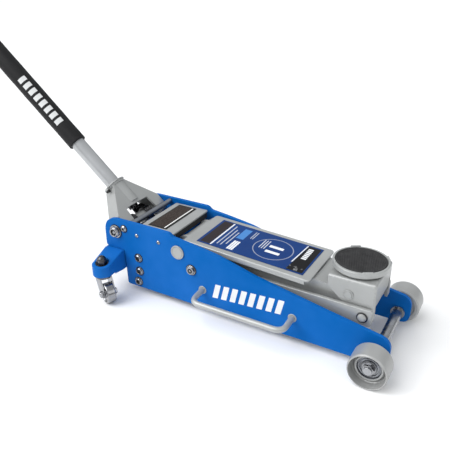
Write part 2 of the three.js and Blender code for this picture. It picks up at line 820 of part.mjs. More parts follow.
function casterNut({ name, sign }) {
  const from = BOSS_Z[1] + GAP;
  const dome = [
    [0, from + 9],
    [9.5, from + 9],
    [9.5, from + 12.5],
    [7.6, from + 16],
    [4.2, from + 18.2],
    [0, from + 19],
  ];
  const nut = unionOf(
    rodZ([0, 0], from, from + 2, 14, 24),
    rodZ([0, 0], from + 1, from + 10, 12, 6),
    turnedZ(dome, [0, 0], 24),
  );
  const bore = rodZ([0, 0], from - 1, from + 11, 8 + GAP);
  return turnedCaster(`caster_nut_${name}`, nut.subtract(bore), sign, FINISH.darkSteel);
}

// A caster piece made about its own swivel axis, with the wheel trailing along X.
function turnedCaster(name, solid, sign, finish) {
  const mesh = meshOf(name, solid, finish);
  mesh.rotation.z = sign * CASTER_YAW;
  mesh.position.set(CASTER_X, sign * CASTER_Y, 0);
  return mesh;
}

// ---------- handle ----------
function handleSocket() {
  const front = (s, y, radius) => [-s, y, radius];
  const outer = outline([
    front(YOKE_LENGTH, -17, 2),
    front(YOKE_LENGTH, 17, 2),
    front(20, YOKE_HALF_WIDTH, 6),
    front(-18, YOKE_HALF_WIDTH),
    front(-18, -YOKE_HALF_WIDTH),
    front(20, -YOKE_HALF_WIDTH, 6),
  ]);
  const inner = outline([
    front(80, -12),
    front(80, 12),
    front(16, YOKE_HALF_WIDTH - 10, 5),
    front(-22, YOKE_HALF_WIDTH - 10),
    front(-22, 10 - YOKE_HALF_WIDTH),
    front(16, 10 - YOKE_HALF_WIDTH, 5),
  ]);
  const side = outline([
    front(YOKE_LENGTH, YOKE_BACK + 6, 3),
    front(20, YOKE_BACK, 10),
    front(-17, YOKE_BACK),
    front(-17, YOKE_FRONT - 8),
    front(-4, YOKE_FRONT, 6),
    front(YOKE_LENGTH, YOKE_FRONT, 3),
  ]);
  const window = outline([
    front(27, -39, 3),
    front(27, 39, 3),
    front(-30, 44),
    front(-30, -44),
  ]);
  const roller = [ROLLER_ORBIT, ROLLER_ANGLE + HANDLE_ANGLE];
  const rollerAt = polar([0, 0], ...roller);
  const lug = outline([
    [-11, 3, 4],
    [rollerAt[0] - 9, rollerAt[1] + 1, 5],
    [rollerAt[0] - 2, rollerAt[1] - 8, 5],
    [rollerAt[0] + 7, rollerAt[1] - 2, 5],
    [10, 8, 4],
  ]);
  const shell = slabXY(outer, YOKE_BACK, YOKE_FRONT)
    .intersect(plateXZ(side, -80, 80, 4))
    .subtract(slabXY(inner, YOKE_BACK - 5, YOKE_FRONT - 5))
    .subtract(slabXY(window, YOKE_FRONT - 10, YOKE_FRONT + 5));
  const yoke = unionOf(
    shell,
    rodX([0, HANDLE_LIFT], -YOKE_LENGTH, -34, 21.5, 20),
    rodX([0, HANDLE_LIFT], -YOKE_LENGTH - 3, -YOKE_LENGTH + 3, 24, 20),
    box([-YOKE_LENGTH - 2, -YOKE_LENGTH + 8], [-30, 30], [HANDLE_LIFT - 4, HANDLE_LIFT + 4]),
    rodY([0, 0], -64, 64, 12),
    plateXZ(lug, 9, 14, 4),
    plateXZ(lug, -14, -9, 4),
    rodY(rollerAt, -12, 12, 3.5),
  );
  const cut = unionOf(
    rodX([0, HANDLE_LIFT], -YOKE_LENGTH - 8, -36, TUBE_R + GAP + 0.3, 20),
    rodY([0, 0], 59, 80, 8 + GAP),
    rodY([0, 0], -80, -59, 8 + GAP),
  );
  return meshOf("handle_socket", yoke.subtract(cut), FINISH.greyPaint);
}

function pumpRoller() {
  const at = polar([0, 0], ROLLER_ORBIT, ROLLER_ANGLE + HANDLE_ANGLE);
  const roller = rodY(at, -8.5, 8.5, ROLLER_R).subtract(rodY(at, -10, 10, 3.5 + GAP));
  return meshOf("pump_roller", roller, FINISH.zinc);
}

function tubeAlong(from, to, inner, outer, segments = 20) {
  const chamfer = Math.min(1, (outer - inner) / 3);
  const profile = [
    [inner, from],
    [outer - chamfer, from],
    [outer, from + chamfer],
    [outer, to - chamfer],
    [outer - chamfer, to],
    [inner, to],
  ];
  const geometry = turned(profile, segments);
  geometry.rotateZ(Math.PI / 2);
  geometry.translate(0, 0, HANDLE_LIFT);
  return solidOf(geometry);
}

function lowerTube() {
  return meshOf("handle_lower_tube", tubeAlong(38, JOINT_AT, TUBE_R - TUBE_WALL, TUBE_R), FINISH.greyPaint);
}

function upperTube() {
  const spigot = TUBE_R - TUBE_WALL - GAP;
  const tube = tubeAlong(JOINT_AT + GAP, HANDLE_END - 4, spigot - 3, TUBE_R)
    .add(tubeAlong(JOINT_AT - 60, JOINT_AT + 20, spigot - 3, spigot));
  return meshOf("handle_upper_tube", tube, FINISH.greyPaint);
}

function foamSleeve() {
  return meshOf("foam_sleeve", tubeAlong(...SLEEVE_SPAN, TUBE_R + GAP, 21.5), FINISH.foam);
}

function handleGrip() {
  const inner = TUBE_R + GAP;
  const grip = tubeAlong(HANDLE_END - 130, HANDLE_END - 2, inner, 20);
  const end = rodX([0, HANDLE_LIFT], -HANDLE_END, -HANDLE_END + 3.7, 19.5, 20);
  return meshOf("handle_grip", grip.add(end), FINISH.rubber);
}

// ---------- assembly ----------
function handleGroup() {
  const group = new THREE.Group();
  group.rotation.y = HANDLE_ANGLE;
  group.position.set(HANDLE_PIVOT[0], 0, HANDLE_PIVOT[1]);
  group.add(handleSocket(), pumpRoller(), lowerTube(), upperTube(), foamSleeve(), handleGrip());
  return group;
}

const pieces = new THREE.Group();
for (const side of SIDES) {
  pieces.add(
    sidePlate(side),
    frontWheel(side),
    hubNut(side),
    linkPivotBolt(side),
    handlePivotBolt(side),
    stopBolt(side),
    carryHandle(side),
    levellingLink(side),
    linkFrontBolt(side),
    casterBracket(side),
    casterFork(side),
    casterWheel(side),
    casterAxle(side),
    casterNut(side),
  );
  BRACKET_BOLTS.forEach((_, index) => pieces.add(bracketBolt(side, index)));
}
pieces.add(
  frontAxle(),
  armPivotShaft(),
  rearTieRod(),
  rearCover(),
  rearLabel(),
  pumpBlock(),
  reservoirTank(),
  fillerPlug(),
  ram(),
  pumpPlunger(),
  releaseValve(),
  liftArm(),
  ramPin(),
  armCover(),
  armLabel(),
  saddleBracket(),
  saddlePin(),
  saddleCup(),
  saddlePad(),
  handleGroup(),
);

// The origin is on the floor, under the middle of the jack's outer box.
const bounds = new THREE.Box3().setFromObject(pieces, true);
const middle = bounds.getCenter(new THREE.Vector3());
pieces.position.set(-middle.x, -middle.y, -bounds.min.z);

const floorJack = new THREE.Group();
floorJack.add(pieces);

export default floorJack;
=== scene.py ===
"""Looks of a hydraulic floor jack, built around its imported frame.

Shapes are drawn in millimetres, with X measured from the front axle, Y from the middle plane (left is +Y)
and Z from the floor. A finished mesh is then set into the frame's metres.
"""

import json
import logging
import math
from dataclasses import dataclass
from enum import Enum
from typing import Any, Iterable, Optional, Sequence

import bmesh
import bpy
from mathutils import Matrix, Vector
from mathutils.geometry import tessellate_polygon


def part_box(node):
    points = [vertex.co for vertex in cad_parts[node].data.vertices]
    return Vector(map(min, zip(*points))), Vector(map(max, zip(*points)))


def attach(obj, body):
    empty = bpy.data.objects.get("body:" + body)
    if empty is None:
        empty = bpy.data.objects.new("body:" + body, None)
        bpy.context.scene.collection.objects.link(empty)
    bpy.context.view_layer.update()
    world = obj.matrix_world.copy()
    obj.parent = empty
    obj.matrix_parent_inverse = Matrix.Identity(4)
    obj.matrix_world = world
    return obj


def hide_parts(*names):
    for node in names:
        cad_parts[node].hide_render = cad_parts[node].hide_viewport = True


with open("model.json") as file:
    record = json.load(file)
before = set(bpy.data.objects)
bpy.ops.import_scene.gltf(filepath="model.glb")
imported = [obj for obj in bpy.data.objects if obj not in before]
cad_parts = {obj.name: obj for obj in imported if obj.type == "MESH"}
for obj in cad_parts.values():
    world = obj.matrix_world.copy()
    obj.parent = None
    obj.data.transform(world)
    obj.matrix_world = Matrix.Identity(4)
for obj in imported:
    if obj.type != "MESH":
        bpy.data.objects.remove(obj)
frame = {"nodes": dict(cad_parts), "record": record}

LOG = logging.getLogger("floor_jack")
MM = 0.001
PLATE_FACE = 82  # distance of a side plate's outer face from the middle plane
# Mask of eased edges: paint uses it for real edge wear; metal, casting and rubber use it for a painted edge
# highlight.
WEAR_AND_SHEEN = "edge_wear"  # 1 on an eased edge, 0 on a flat
STRAND = "strand"  # map of a piece that is patterned along its length

Corner = Sequence[float]
Colour = tuple[float, float, float]


class Side(Enum):
    """The two sides of the jack, by the sign of Y."""

    LEFT = 1
    RIGHT = -1

    @property
    def label(self) -> str:
        """The side's word in piece names."""
        return self.name.lower()


class Slot(Enum):
    """The record's material slots."""

    BLUE = "blue_paint"
    GREY = "grey_paint"
    WHEEL = "wheel_paint"
    TUBE = "silver_tube"
    ZINC = "zinc"
    DARK = "dark_steel"
    IRON = "cast_iron"
    CHROME = "chrome"
    RUBBER = "rubber"
    FOAM = "foam"


# ---------- places, from the frame ----------
def middle(node: str) -> Vector:
    """Middle of a CAD node's box in metres.

    Args:
        node: the CAD node's name.

    Returns:
        The middle point in the frame.
    """
    low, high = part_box(node)
    return (low + high) / 2


AXLE_X = middle("front_axle").x
TO_FRAME = Matrix.Translation((AXLE_X, 0, 0)) @ Matrix.Scale(MM, 4)
TO_DRAWING = TO_FRAME.inverted()


def place(node: str) -> Vector:
    """Middle of a CAD node's box in the drawing's millimetres.

    Args:
        node: the CAD node's name.

    Returns:
        The middle point in millimetres from the front axle.
    """
    return TO_DRAWING @ middle(node)


def extent(node: str) -> tuple[Vector, Vector]:
    """Lowest and highest corners of a CAD node in the drawing's millimetres.

    Args:
        node: the CAD node's name.

    Returns:
        The two corners.
    """
    low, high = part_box(node)
    return TO_DRAWING @ low, TO_DRAWING @ high


def outwards(side: Side, at: Vector) -> Matrix:
    """Matrix that stands a turned shape on the Y direction of one side.

    Args:
        side: the side it faces.
        at: a point on its axis; only X and Z count.

    Returns:
        The matrix, whose local Z is the distance from the middle plane.
    """
    turn = Matrix.Rotation(-side.value * math.pi / 2, 4, "X")
    return Matrix.Translation((at.x, 0, at.z)) @ turn


# ---------- shapes ----------
def curve(start: Vector, corner: Vector, end: Vector, steps: int) -> list[Vector]:
    """Smooth bend from one point to another.

    Args:
        start: its first point.
        corner: the corner that it rounds off.
        end: its last point.
        steps: stretches along it.

    Returns:
        The points, with both ends.
    """
    parts = [step / steps for step in range(steps + 1)]
    return [start * (1 - t) ** 2 + corner * (2 * t * (1 - t)) + end * t**2 for t in parts]


def rounded(corners: Sequence[Corner], steps: int = 8) -> list[Vector]:
    """Outline with eased corners.

    Args:
        corners: points as x, y and an optional corner radius.
        steps: stretches in each eased corner.

    Returns:
        The outline's points in the plane.
    """
    points: list[Vector] = []
    count = len(corners)
    for index, corner in enumerate(corners):
        at = Vector(corner[:2])
        radius = corner[2] if len(corner) > 2 else 0.0
        if radius <= 0:
            points.append(at)
            continue
        back = Vector(corners[index - 1][:2]) - at
        ahead = Vector(corners[(index + 1) % count][:2]) - at
        half = back.angle(ahead) / 2
        reach = min(radius / math.tan(half), back.length / 2, ahead.length / 2)
        start = at + back.normalized() * reach
        end = at + ahead.normalized() * reach
        points += curve(start, at, end, steps)
    return [point for index, point in enumerate(points) if (point - points[index - 1]).length > 0.01]


def circle(x: float, y: float, radius: float, segments: int = 32) -> list[Vector]:
    """Round outline.

    Args:
        x: middle, first coordinate.
        y: middle, second coordinate.
        radius: its radius.
        segments: number of points.

    Returns:
        The outline's points in the plane.
    """
    turns = [2 * math.pi * step / segments for step in range(segments)]
    return [Vector((x + radius * math.cos(turn), y + radius * math.sin(turn))) for turn in turns]


class Cut(Enum):
    """How two solids are combined."""

    DIFFERENCE = "DIFFERENCE"
    INTERSECT = "INTERSECT"


class Plane(Enum):
    """The plane that an outline is drawn in; it is pulled out along the third axis."""

    XY = Matrix.Identity(4)
    XZ = Matrix(((1, 0, 0, 0), (0, 0, 1, 0), (0, 1, 0, 0), (0, 0, 0, 1)))


class Shape:
    """A closed mesh under construction, in millimetres."""

    def __init__(self) -> None:
        """Starts an empty shape."""
        self.bm = bmesh.new()
        self.bm.faces.layers.float.new(WEAR_AND_SHEEN)

    @classmethod
    def plate(
        cls, outer: list[Vector], low: float, high: float, plane: Plane = Plane.XZ, holes: Sequence = ()
    ) -> "Shape":
        """Outline pulled out to a thickness.

        Args:
            outer: the outline.
            low: where it starts on the third axis.
            high: where it ends.
            plane: the plane of the outline.
            holes: outlines of holes through it.

        Returns:
            The closed shape.
        """
        shape = cls()
        bm = shape.bm
        loops = [outer, *holes]
        flat = [point for loop in loops for point in loop]
        rings = [[bm.verts.new((p.x, p.y, z)) for p in flat] for z in (low, high)]
        for triangle in tessellate_polygon([[p.to_3d() for p in loop] for loop in loops]):
            for ring in rings:
                bm.faces.new([ring[index] for index in triangle])
        start = 0
        for loop in loops:
            for index in range(len(loop)):
                here = start + index
                ahead = start + (index + 1) % len(loop)
                bm.faces.new([rings[0][here], rings[0][ahead], rings[1][ahead], rings[1][here]])
            start += len(loop)
        bmesh.ops.transform(bm, matrix=plane.value, verts=bm.verts)
        return shape.tidied()

    @classmethod
    def turned(
        cls, profile: Sequence[Corner], segments: int = 64, steps: int = 4, base: float = 0
    ) -> "Shape":
        """Turned shape about Z.

        Args:
            profile: closed section as radius, height and an optional corner radius.
            segments: sides of the turned shape.
            steps: stretches in each eased corner of the section.
            base: height that the section's heights are counted from.

        Returns:
            The closed shape.
        """
        shape = cls()
        bm = shape.bm
        section = rounded([(point[0], point[1] + base, *point[2:]) for point in profile], steps)
        rings = []
        for step in range(segments):
            turn = 2 * math.pi * step / segments
            rings.append([bm.verts.new((r * math.cos(turn), r * math.sin(turn), h)) for r, h in section])
        for step, ring in enumerate(rings):
            ahead = rings[(step + 1) % segments]
            for index in range(len(section)):
                after = (index + 1) % len(section)
                if section[index].x < 1e-6 and section[after].x < 1e-6:
                    continue
                bm.faces.new([ring[index], ahead[index], ahead[after], ring[after]])
        bmesh.ops.remove_doubles(bm, verts=bm.verts, dist=1e-4)
        bmesh.ops.recalc_face_normals(bm, faces=bm.faces)
        return shape

    @classmethod
    def block(cls, low: Corner, high: Corner) -> "Shape":
        """Rectangular block.

        Args:
            low: lowest corner.
            high: highest corner.

        Returns:
            The closed shape.
        """
        corners = [(low[0], low[1]), (high[0], low[1]), (high[0], high[1]), (low[0], high[1])]
        return cls.plate([Vector(corner) for corner in corners], low[2], high[2], Plane.XY)

    @classmethod
    def of_mesh(cls, mesh: bpy.types.Mesh) -> "Shape":
        """Takes a mesh over as a shape, and removes the mesh."""
        shape = cls()
        shape.bm.free()
        shape.bm = bmesh.new()
        shape.bm.from_mesh(mesh)
        bpy.data.meshes.remove(mesh)
        if WEAR_AND_SHEEN not in shape.bm.faces.layers.float:
            shape.bm.faces.layers.float.new(WEAR_AND_SHEEN)
        bmesh.ops.remove_doubles(shape.bm, verts=shape.bm.verts, dist=1e-4)
        bmesh.ops.recalc_face_normals(shape.bm, faces=shape.bm.faces)
        return shape

    @classmethod
    def of_node(cls, node: str) -> "Shape":
        """Copy of a CAD node, its loose triangles joined into flat faces.

        Args:
            node: the CAD node's name.

        Returns:
            The closed shape.
        """
        shape = cls()
        shape.bm.from_mesh(frame["nodes"][node].data)
        bmesh.ops.transform(shape.bm, matrix=TO_DRAWING, verts=shape.bm.verts)
        return shape.tidied()

    def tidied(self) -> "Shape":
        """Joins doubles, makes flat stretches single faces and points the faces outwards."""
        bm = self.bm
        bmesh.ops.remove_doubles(bm, verts=bm.verts, dist=2e-3)
        bmesh.ops.dissolve_limit(bm, angle_limit=math.radians(0.6), verts=bm.verts, edges=bm.edges)
        bmesh.ops.recalc_face_normals(bm, faces=bm.faces)
        return self

    def moved(self, matrix: Matrix) -> "Shape":
        """Applies a matrix that turns and shifts."""
        bmesh.ops.transform(self.bm, matrix=matrix, verts=self.bm.verts)
        return self

    def eased(
        self, width: float, segments: int = 2, angle: float = 30, zone: Optional[Any] = None
    ) -> "Shape":
        """Rounds the sharp edges.

        Args:
            width: how far the rounding reaches.
            segments: faces across it.
            angle: an edge sharper than this many degrees is rounded.
            zone: a test on an edge's middle point, or None for every edge.

        Returns:
            This shape.
        """
        limit = math.radians(angle)
        edges = [
            edge
            for edge in self.bm.edges
            if edge.is_manifold and edge.calc_face_angle(0) > limit and (
                zone is None or zone((edge.verts[0].co + edge.verts[1].co) / 2)
            )
        ]
        done = bmesh.ops.bevel(
            self.bm, geom=edges, offset=width, segments=segments, profile=0.5, affect="EDGES",
            clamp_overlap=True
        )
        layer = self.bm.faces.layers.float[WEAR_AND_SHEEN]
        for face in done["faces"]:
            face[layer] = 1.0
        return self

    def plus(self, *others: "Shape") -> "Shape":
        """Adds other closed shapes to this one, each kept whole."""
        for other in others:
            mesh = bpy.data.meshes.new("part")
            other.bm.to_mesh(mesh)
            self.bm.from_mesh(mesh)
            bpy.data.meshes.remove(mesh)
            other.bm.free()
        return self

    def combined(self, other: "Shape", operation: Cut) -> "Shape":
        """Makes one solid with another shape.

        Args:
            other: the other shape, which is used up.
            operation: how the two are combined.

        Returns:
            This shape, changed.
        """
        parts = []
        for shape in (self, other):
            mesh = bpy.data.meshes.new("part")
            shape.bm.to_mesh(mesh)
            parts.append(linked("part", mesh))
        modifier = parts[0].modifiers.new("cut", "BOOLEAN")
        modifier.operation = operation.value
        modifier.solver = "EXACT"
        modifier.object = parts[1]
        result = plain_mesh(parts[0])
        self.bm.free()
        other.bm.free()
        self.bm = bmesh.new()
        self.bm.from_mesh(result)
        for part in parts:
            mesh = part.data
            bpy.data.objects.remove(part)
            bpy.data.meshes.remove(mesh)
        bpy.data.meshes.remove(result)
        if WEAR_AND_SHEEN not in self.bm.faces.layers.float:
            self.bm.faces.layers.float.new(WEAR_AND_SHEEN)
        return self.tidied()

    def cut_by(self, other: "Shape") -> "Shape":
        """Takes another shape away."""
        return self.combined(other, Cut.DIFFERENCE)

    def copy(self) -> "Shape":
        """Copy of the shape."""
        twin = Shape()
        twin.bm.free()
        twin.bm = self.bm.copy()
        return twin

    def mesh(self, name: str) -> bpy.types.Mesh:
        """Turns the shape into a mesh in millimetres, and ends it.

        Args:
            name: the mesh's name.

        Returns:
            The mesh.
        """
        mesh = bpy.data.meshes.new(name)
        self.bm.to_mesh(mesh)
        self.bm.free()
        return mesh


def linked(name: str, data: bpy.types.ID) -> bpy.types.Object:
    """New object in the scene.

    Args:
        name: its name.
        data: its mesh, light or camera.

    Returns:
        The object.
    """
    thing = bpy.data.objects.new(name, data)
    bpy.context.scene.collection.objects.link(thing)
    return thing


def plain_mesh(thing: bpy.types.Object) -> bpy.types.Mesh:
    """Mesh of an object with its modifiers carried out.

    Args:
        thing: the object.

    Returns:
        A new mesh.
    """
    bpy.context.view_layer.update()
    graph = bpy.context.evaluated_depsgraph_get()
    return bpy.data.meshes.new_from_object(thing.evaluated_get(graph), depsgraph=graph)


class Bench:
    """Fits finished shapes to the frame: places them, shades them, and has them ride on their bodies."""

    def __init__(self) -> None:
        """Notes the body that each CAD node belongs to."""
        bodies = frame["record"]["behaviour"]["bodies"]
        self.body_of = {node: body for body, nodes in bodies.items() for node in nodes}

    def fit(
        self, name: str, shape: Shape, finish: bpy.types.Material, slot: Slot, nodes: Iterable[str] = (),
        body: str = "", crease: float = 32
    ) -> bpy.types.Object:
        """Makes a piece of the object from a shape.

        Args:
            name: the piece's name.
            shape: its shape in millimetres.
            finish: its material.
            slot: the record's slot of its finish.
            nodes: the CAD nodes it stands for.
            body: the body it rides on, where it stands for no node.
            crease: an edge sharper than this many degrees stays sharp.

        Returns:
            The finished object.
        """
        mesh = shape.mesh(name)
        mesh.transform(TO_FRAME)
        mesh.materials.clear()
        mesh.materials.append(finish)
        mesh.polygons.foreach_set("material_index", [0] * len(mesh.polygons))
        mesh.polygons.foreach_set("use_smooth", [True] * len(mesh.polygons))
        mesh.set_sharp_from_angle(angle=math.radians(crease))
        draft = linked(name, mesh)
        modifier = draft.modifiers.new("flat faces lead", "WEIGHTED_NORMAL")
        modifier.keep_sharp = True
        settled = plain_mesh(draft)
        bpy.data.objects.remove(draft)
        bpy.data.meshes.remove(mesh)
        settled.name = name
        return self.seat(linked(name, settled), slot, nodes, body)

    def seat(
        self, piece: bpy.types.Object, slot: Slot, nodes: Iterable[str] = (), body: str = ""
    ) -> bpy.types.Object:
        """Has a finished object ride on its body and stand for its nodes.

        Args:
            piece: the object, in place.
            slot: the record's slot of its finish; not used.
            nodes: the CAD nodes it stands for.
            body: the body it rides on, where it stands for no node.

        Returns:
            The same object.
        """
        stood_for = list(nodes)
        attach(piece, body or self.body_of[stood_for[0]])
        if stood_for:
            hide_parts(*stood_for)
        LOG.info("%s: %d faces", piece.name, len(piece.data.polygons))
        return piece

    def dress(self, node: str, finish: bpy.types.Material) -> None:
        """Gives a CAD node that is kept a better material.

        Args:
            node: the CAD node's name.
            finish: its material.
        """
        thing = frame["nodes"][node]
        for index in range(len(thing.material_slots)):
            thing.material_slots[index].material = finish
        LOG.info("%s: kept, %s", node, finish.name)


# ---------- shader maths ----------
class Value:
    """A socket of a shader tree that takes part in sums."""

    def __init__(self, tree: "Tree", socket: bpy.types.NodeSocket) -> None:
        """Wraps one output socket of a tree."""
        self.tree = tree
        self.socket = socket

    def _sum(self, operation: str, first: Any, second: Any) -> "Value":
        """Adds a Math node for two values."""
        return self.tree.node("ShaderNodeMath", {"operation": operation}, {0: first, 1: second})

    def __add__(self, other: Any) -> "Value":
        """Sum of two values."""
        return self._sum("ADD", self, other)

    __radd__ = __add__

    def __sub__(self, other: Any) -> "Value":
        """Difference of two values."""
        return self._sum("SUBTRACT", self, other)

    def __rsub__(self, other: Any) -> "Value":
        """Difference of a number and this value."""
        return self._sum("SUBTRACT", other, self)

    def __mul__(self, other: Any) -> "Value":
        """Product of two values."""
        return self._sum("MULTIPLY", self, other)

    __rmul__ = __mul__

    def __truediv__(self, other: Any) -> "Value":
        """Quotient of two values."""
        return self._sum("DIVIDE", self, other)

    def __gt__(self, other: Any) -> "Value":
        """1 where this value is the greater."""
        return self._sum("GREATER_THAN", self, other)

    def __lt__(self, other: Any) -> "Value":
        """1 where this value is the smaller."""
        return self._sum("LESS_THAN", self, other)

    def __abs__(self) -> "Value":
        """Size of the value, without its sign."""
        return self._sum("ABSOLUTE", self, 0)

    def within(self, low: float, high: float) -> "Value":
        """1 between two limits, 0 outside."""
        return (self > low) * (self < high)

    def wrapped(self, pitch: float) -> "Value":
        """The value counted again from 0 after each pitch."""
        return self._sum("FLOORED_MODULO", self, pitch)

    def ramped(self, low: float, high: float, start: float = 0, end: float = 1) -> "Value":
        """Value carried from one range to another and held at its ends.

        Args:
            low: where the ramp starts.
            high: where it ends.
            start: the result at the start.
            end: the result at the end.

        Returns:
            The result.
        """
        sockets = {"Value": self, "From Min": low, "From Max": high, "To Min": start, "To Max": end}
        return self.tree.node("ShaderNodeMapRange", {"clamp": True}, sockets)


class Tree:
    """The node tree of one material."""

    def __init__(self, name: str) -> None:
        """Starts a material with a Principled shader."""
        self.material = bpy.data.materials.new(name)
        self.material.use_nodes = True
        self.nodes = self.material.node_tree.nodes
        self.links = self.material.node_tree.links
        self.shader = self.nodes["Principled BSDF"]

    def node(self, kind: str, settings: dict[str, Any], sockets: dict[Any, Any], output: Any = 0) -> Value:
        """Adds a node.

        Args:
            kind: the node's type.
            settings: properties, set first.
            sockets: values or links of its inputs, by name or number.
            output: the output wanted, by name or number.

        Returns:
            The output as a value.
        """
        made = self.nodes.new(kind)
        for key, setting in settings.items():
            setattr(made, key, setting)
        for key, value in sockets.items():
            if isinstance(value, Value):
                self.links.new(value.socket, made.inputs[key])
            else:
                made.inputs[key].default_value = value
        return Value(self, made.outputs[output])

    def position(self) -> Value:
        """Place on the object in metres."""
        return self.node("ShaderNodeTexCoord", {}, {}, "Object")

    def scaled(self, factors: Corner, turn: Corner = (0, 0, 0)) -> Value:
        """Place on the object, turned and stretched along each axis."""
        sockets = {"Vector": self.position(), "Rotation": turn, "Scale": factors}
        return self.node("ShaderNodeMapping", {}, sockets)

    def axes(self, vector: Value) -> list[Value]:
        """The three parts of a vector."""
        first = self.node("ShaderNodeSeparateXYZ", {}, {0: vector}, "X")
        outputs = first.socket.node.outputs
        return [first, Value(self, outputs["Y"]), Value(self, outputs["Z"])]

    def noise(self, scale: float, detail: float = 4, roughness: float = 0.55, along: Any = None) -> Value:
        """Smooth noise.

        Args:
            scale: waves in a metre.
            detail: finer layers.
            roughness: weight of the finer layers.
            along: the vector it is read along, or None for the place.

        Returns:
            The noise from 0 to 1.
        """
        sockets = {
            "Vector": along or self.position(), "Scale": scale, "Detail": detail, "Roughness": roughness
        }
        return self.node("ShaderNodeTexNoise", {}, sockets)

    def attribute(self, name: str) -> Value:
        """A number kept on the mesh."""
        return self.node("ShaderNodeAttribute", {"attribute_name": name}, {}, "Fac")

    def mixed(self, factor: Any, first: Any, second: Any) -> Value:
        """Colour between two colours.

        Args:
            factor: 0 for the first, 1 for the second.
            first: a colour.
            second: a colour.

        Returns:
            The colour.
        """
        paints = [value if isinstance(value, Value) else (*value, 1) for value in (first, second)]
        sockets = {"Factor": factor, 6: paints[0], 7: paints[1]}
        return self.node("ShaderNodeMix", {"data_type": "RGBA"}, sockets, 2)

    def bumped(self, height: Value, distance: float, strength: float = 1) -> Value:
        """Surface direction from a height.

        Args:
            height: the height, 0 to 1.
            distance: metres of relief.
            strength: share of it that shows.

        Returns:
            The normal.
        """
        return self.node(
            "ShaderNodeBump", {}, {"Height": height, "Distance": distance, "Strength": strength}
        )

    def finished(self, constants: dict[str, float], **varying: Value) -> bpy.types.Material:
        """Sets the shader and ends the material.

        Args:
            constants: values that are the same all over.
            varying: links, with an underscore for a space in the socket's name.

        Returns:
            The material.
        """
        for key, number in constants.items():
            self.shader.inputs[key].default_value = number
        for key, value in varying.items():
            self.links.new(value.socket, self.shader.inputs[key.replace("_", " ")])
        return self.material


# ---------- finishes ----------
@dataclass(frozen=True)
class Paint:
    """Sprayed paint: fine orange peel, faint clouding, light scuffs and thin edges."""

    name: str
    colour: Colour
    edge: Colour
    roughness: float
    metal: float = 0.0
    clear: float = 0.0
    clouding: float = 0.06
    peel: float = 0.00006
    scuffs: float = 0.5
    shine: float = 0.4
    worn: float = 0.35

    def material(self) -> bpy.types.Material:
        """Builds the paint's material."""
        tree = Tree(self.name)
        cloud = tree.noise(9, 3)
        fleck = tree.noise(1400, 2)
        peel = tree.noise(420, 2)
        drag = tree.noise(60, 5, 0.65, tree.scaled((0.25, 4, 1), (0.3, 0.5, 0.2)))
        scuff = drag.ramped(0.66, 0.74) * self.scuffs
        worn = (tree.attribute(WEAR_AND_SHEEN) * tree.noise(140, 5, 0.7)).ramped(0.42, 0.6)
        darker = tuple(part * (1 - 2.2 * self.clouding) for part in self.colour)
        lighter = tuple(min(1, part * (1 + self.clouding) + 0.012) for part in self.colour)
        paint = tree.mixed(cloud.ramped(0.3, 0.7), darker, lighter)
        grained = tree.mixed(fleck * 0.16 * (0.3 + self.metal), paint, self.edge)
        scuffed = tree.mixed(scuff * 0.25, grained, self.edge)
        colour = tree.mixed(worn * self.worn, scuffed, self.edge)
        rough = cloud.ramped(
            0.3, 0.7, self.roughness - 0.04, self.roughness + 0.05
        ) + scuff * 0.2 + worn * 0.12
        height = peel + fleck * 0.25 + scuff * -0.6
        return tree.finished(
            {
                "Metallic": self.metal, "Coat Roughness": 0.12, "Coat Weight": self.clear,
                "Specular IOR Level": self.shine
            },
            Base_Color=colour, Roughness=rough, Normal=tree.bumped(height, self.peel)
        )


@dataclass(frozen=True)
class Metal:
    """Bare or plated metal: grain, cloudy plating, fine scratches, a dull film in places, and a painted
    highlight on eased edges.
    """

    name: str
    colour: Colour
    film: Colour
    roughness: float
    grain: Corner = (1, 1, 1)
    relief: float = 0.00003
    filmed: float = 0.4

    def material(self) -> bpy.types.Material:
        """Builds the metal's material."""
        tree = Tree(self.name)
        cloud = tree.noise(55, 4)
        grain = tree.noise(900, 3, 0.6, tree.scaled(self.grain))
        scratch = tree.noise(240, 6, 0.75, tree.scaled((0.2, 5, 1), (0.9, 0.2, 0.6))).ramped(0.62, 0.72)
        film = cloud.ramped(0.42, 0.72) * self.filmed
        # Eased edges are painted up to a quarter brighter: a painted highlight where the edges catch the
        # light.
        bright = tree.mixed(
            tree.attribute(WEAR_AND_SHEEN) * 0.35, self.colour, tuple(min(1, c * 1.25) for c in self.colour)
        )
        colour = tree.mixed(film, bright, self.film)
        rough = self.roughness + grain * 0.1 + film * 0.25 + scratch * 0.08
        return tree.finished(
            {"Metallic": 1.0}, Base_Color=tree.mixed(grain * 0.12, colour, self.film), Roughness=rough,
            Normal=tree.bumped(grain + scratch * 0.5, self.relief)
        )


@dataclass(frozen=True)
class Casting:
    """Rough sand casting under an oily film, with a painted highlight on its eased edges."""

    name: str
    colour: Colour

    def material(self) -> bpy.types.Material:
        """Builds the casting's material."""
        tree = Tree(self.name)
        pits = tree.noise(380, 6, 0.7)
        oil = tree.noise(26, 3).ramped(0.4, 0.7)
        lighter = tuple(part * 2.1 for part in self.colour)
        colour = tree.mixed(pits.ramped(0.35, 0.7), self.colour, lighter)
        # Eased edges are mixed halfway to the lighter colour: a painted highlight.
        return tree.finished(
            {"Metallic": 0.55}, Base_Color=tree.mixed(tree.attribute(WEAR_AND_SHEEN) * 0.5, colour, lighter),
            Roughness=0.62 - oil * 0.28 + pits * 0.1, Normal=tree.bumped(pits, 0.0004)
        )


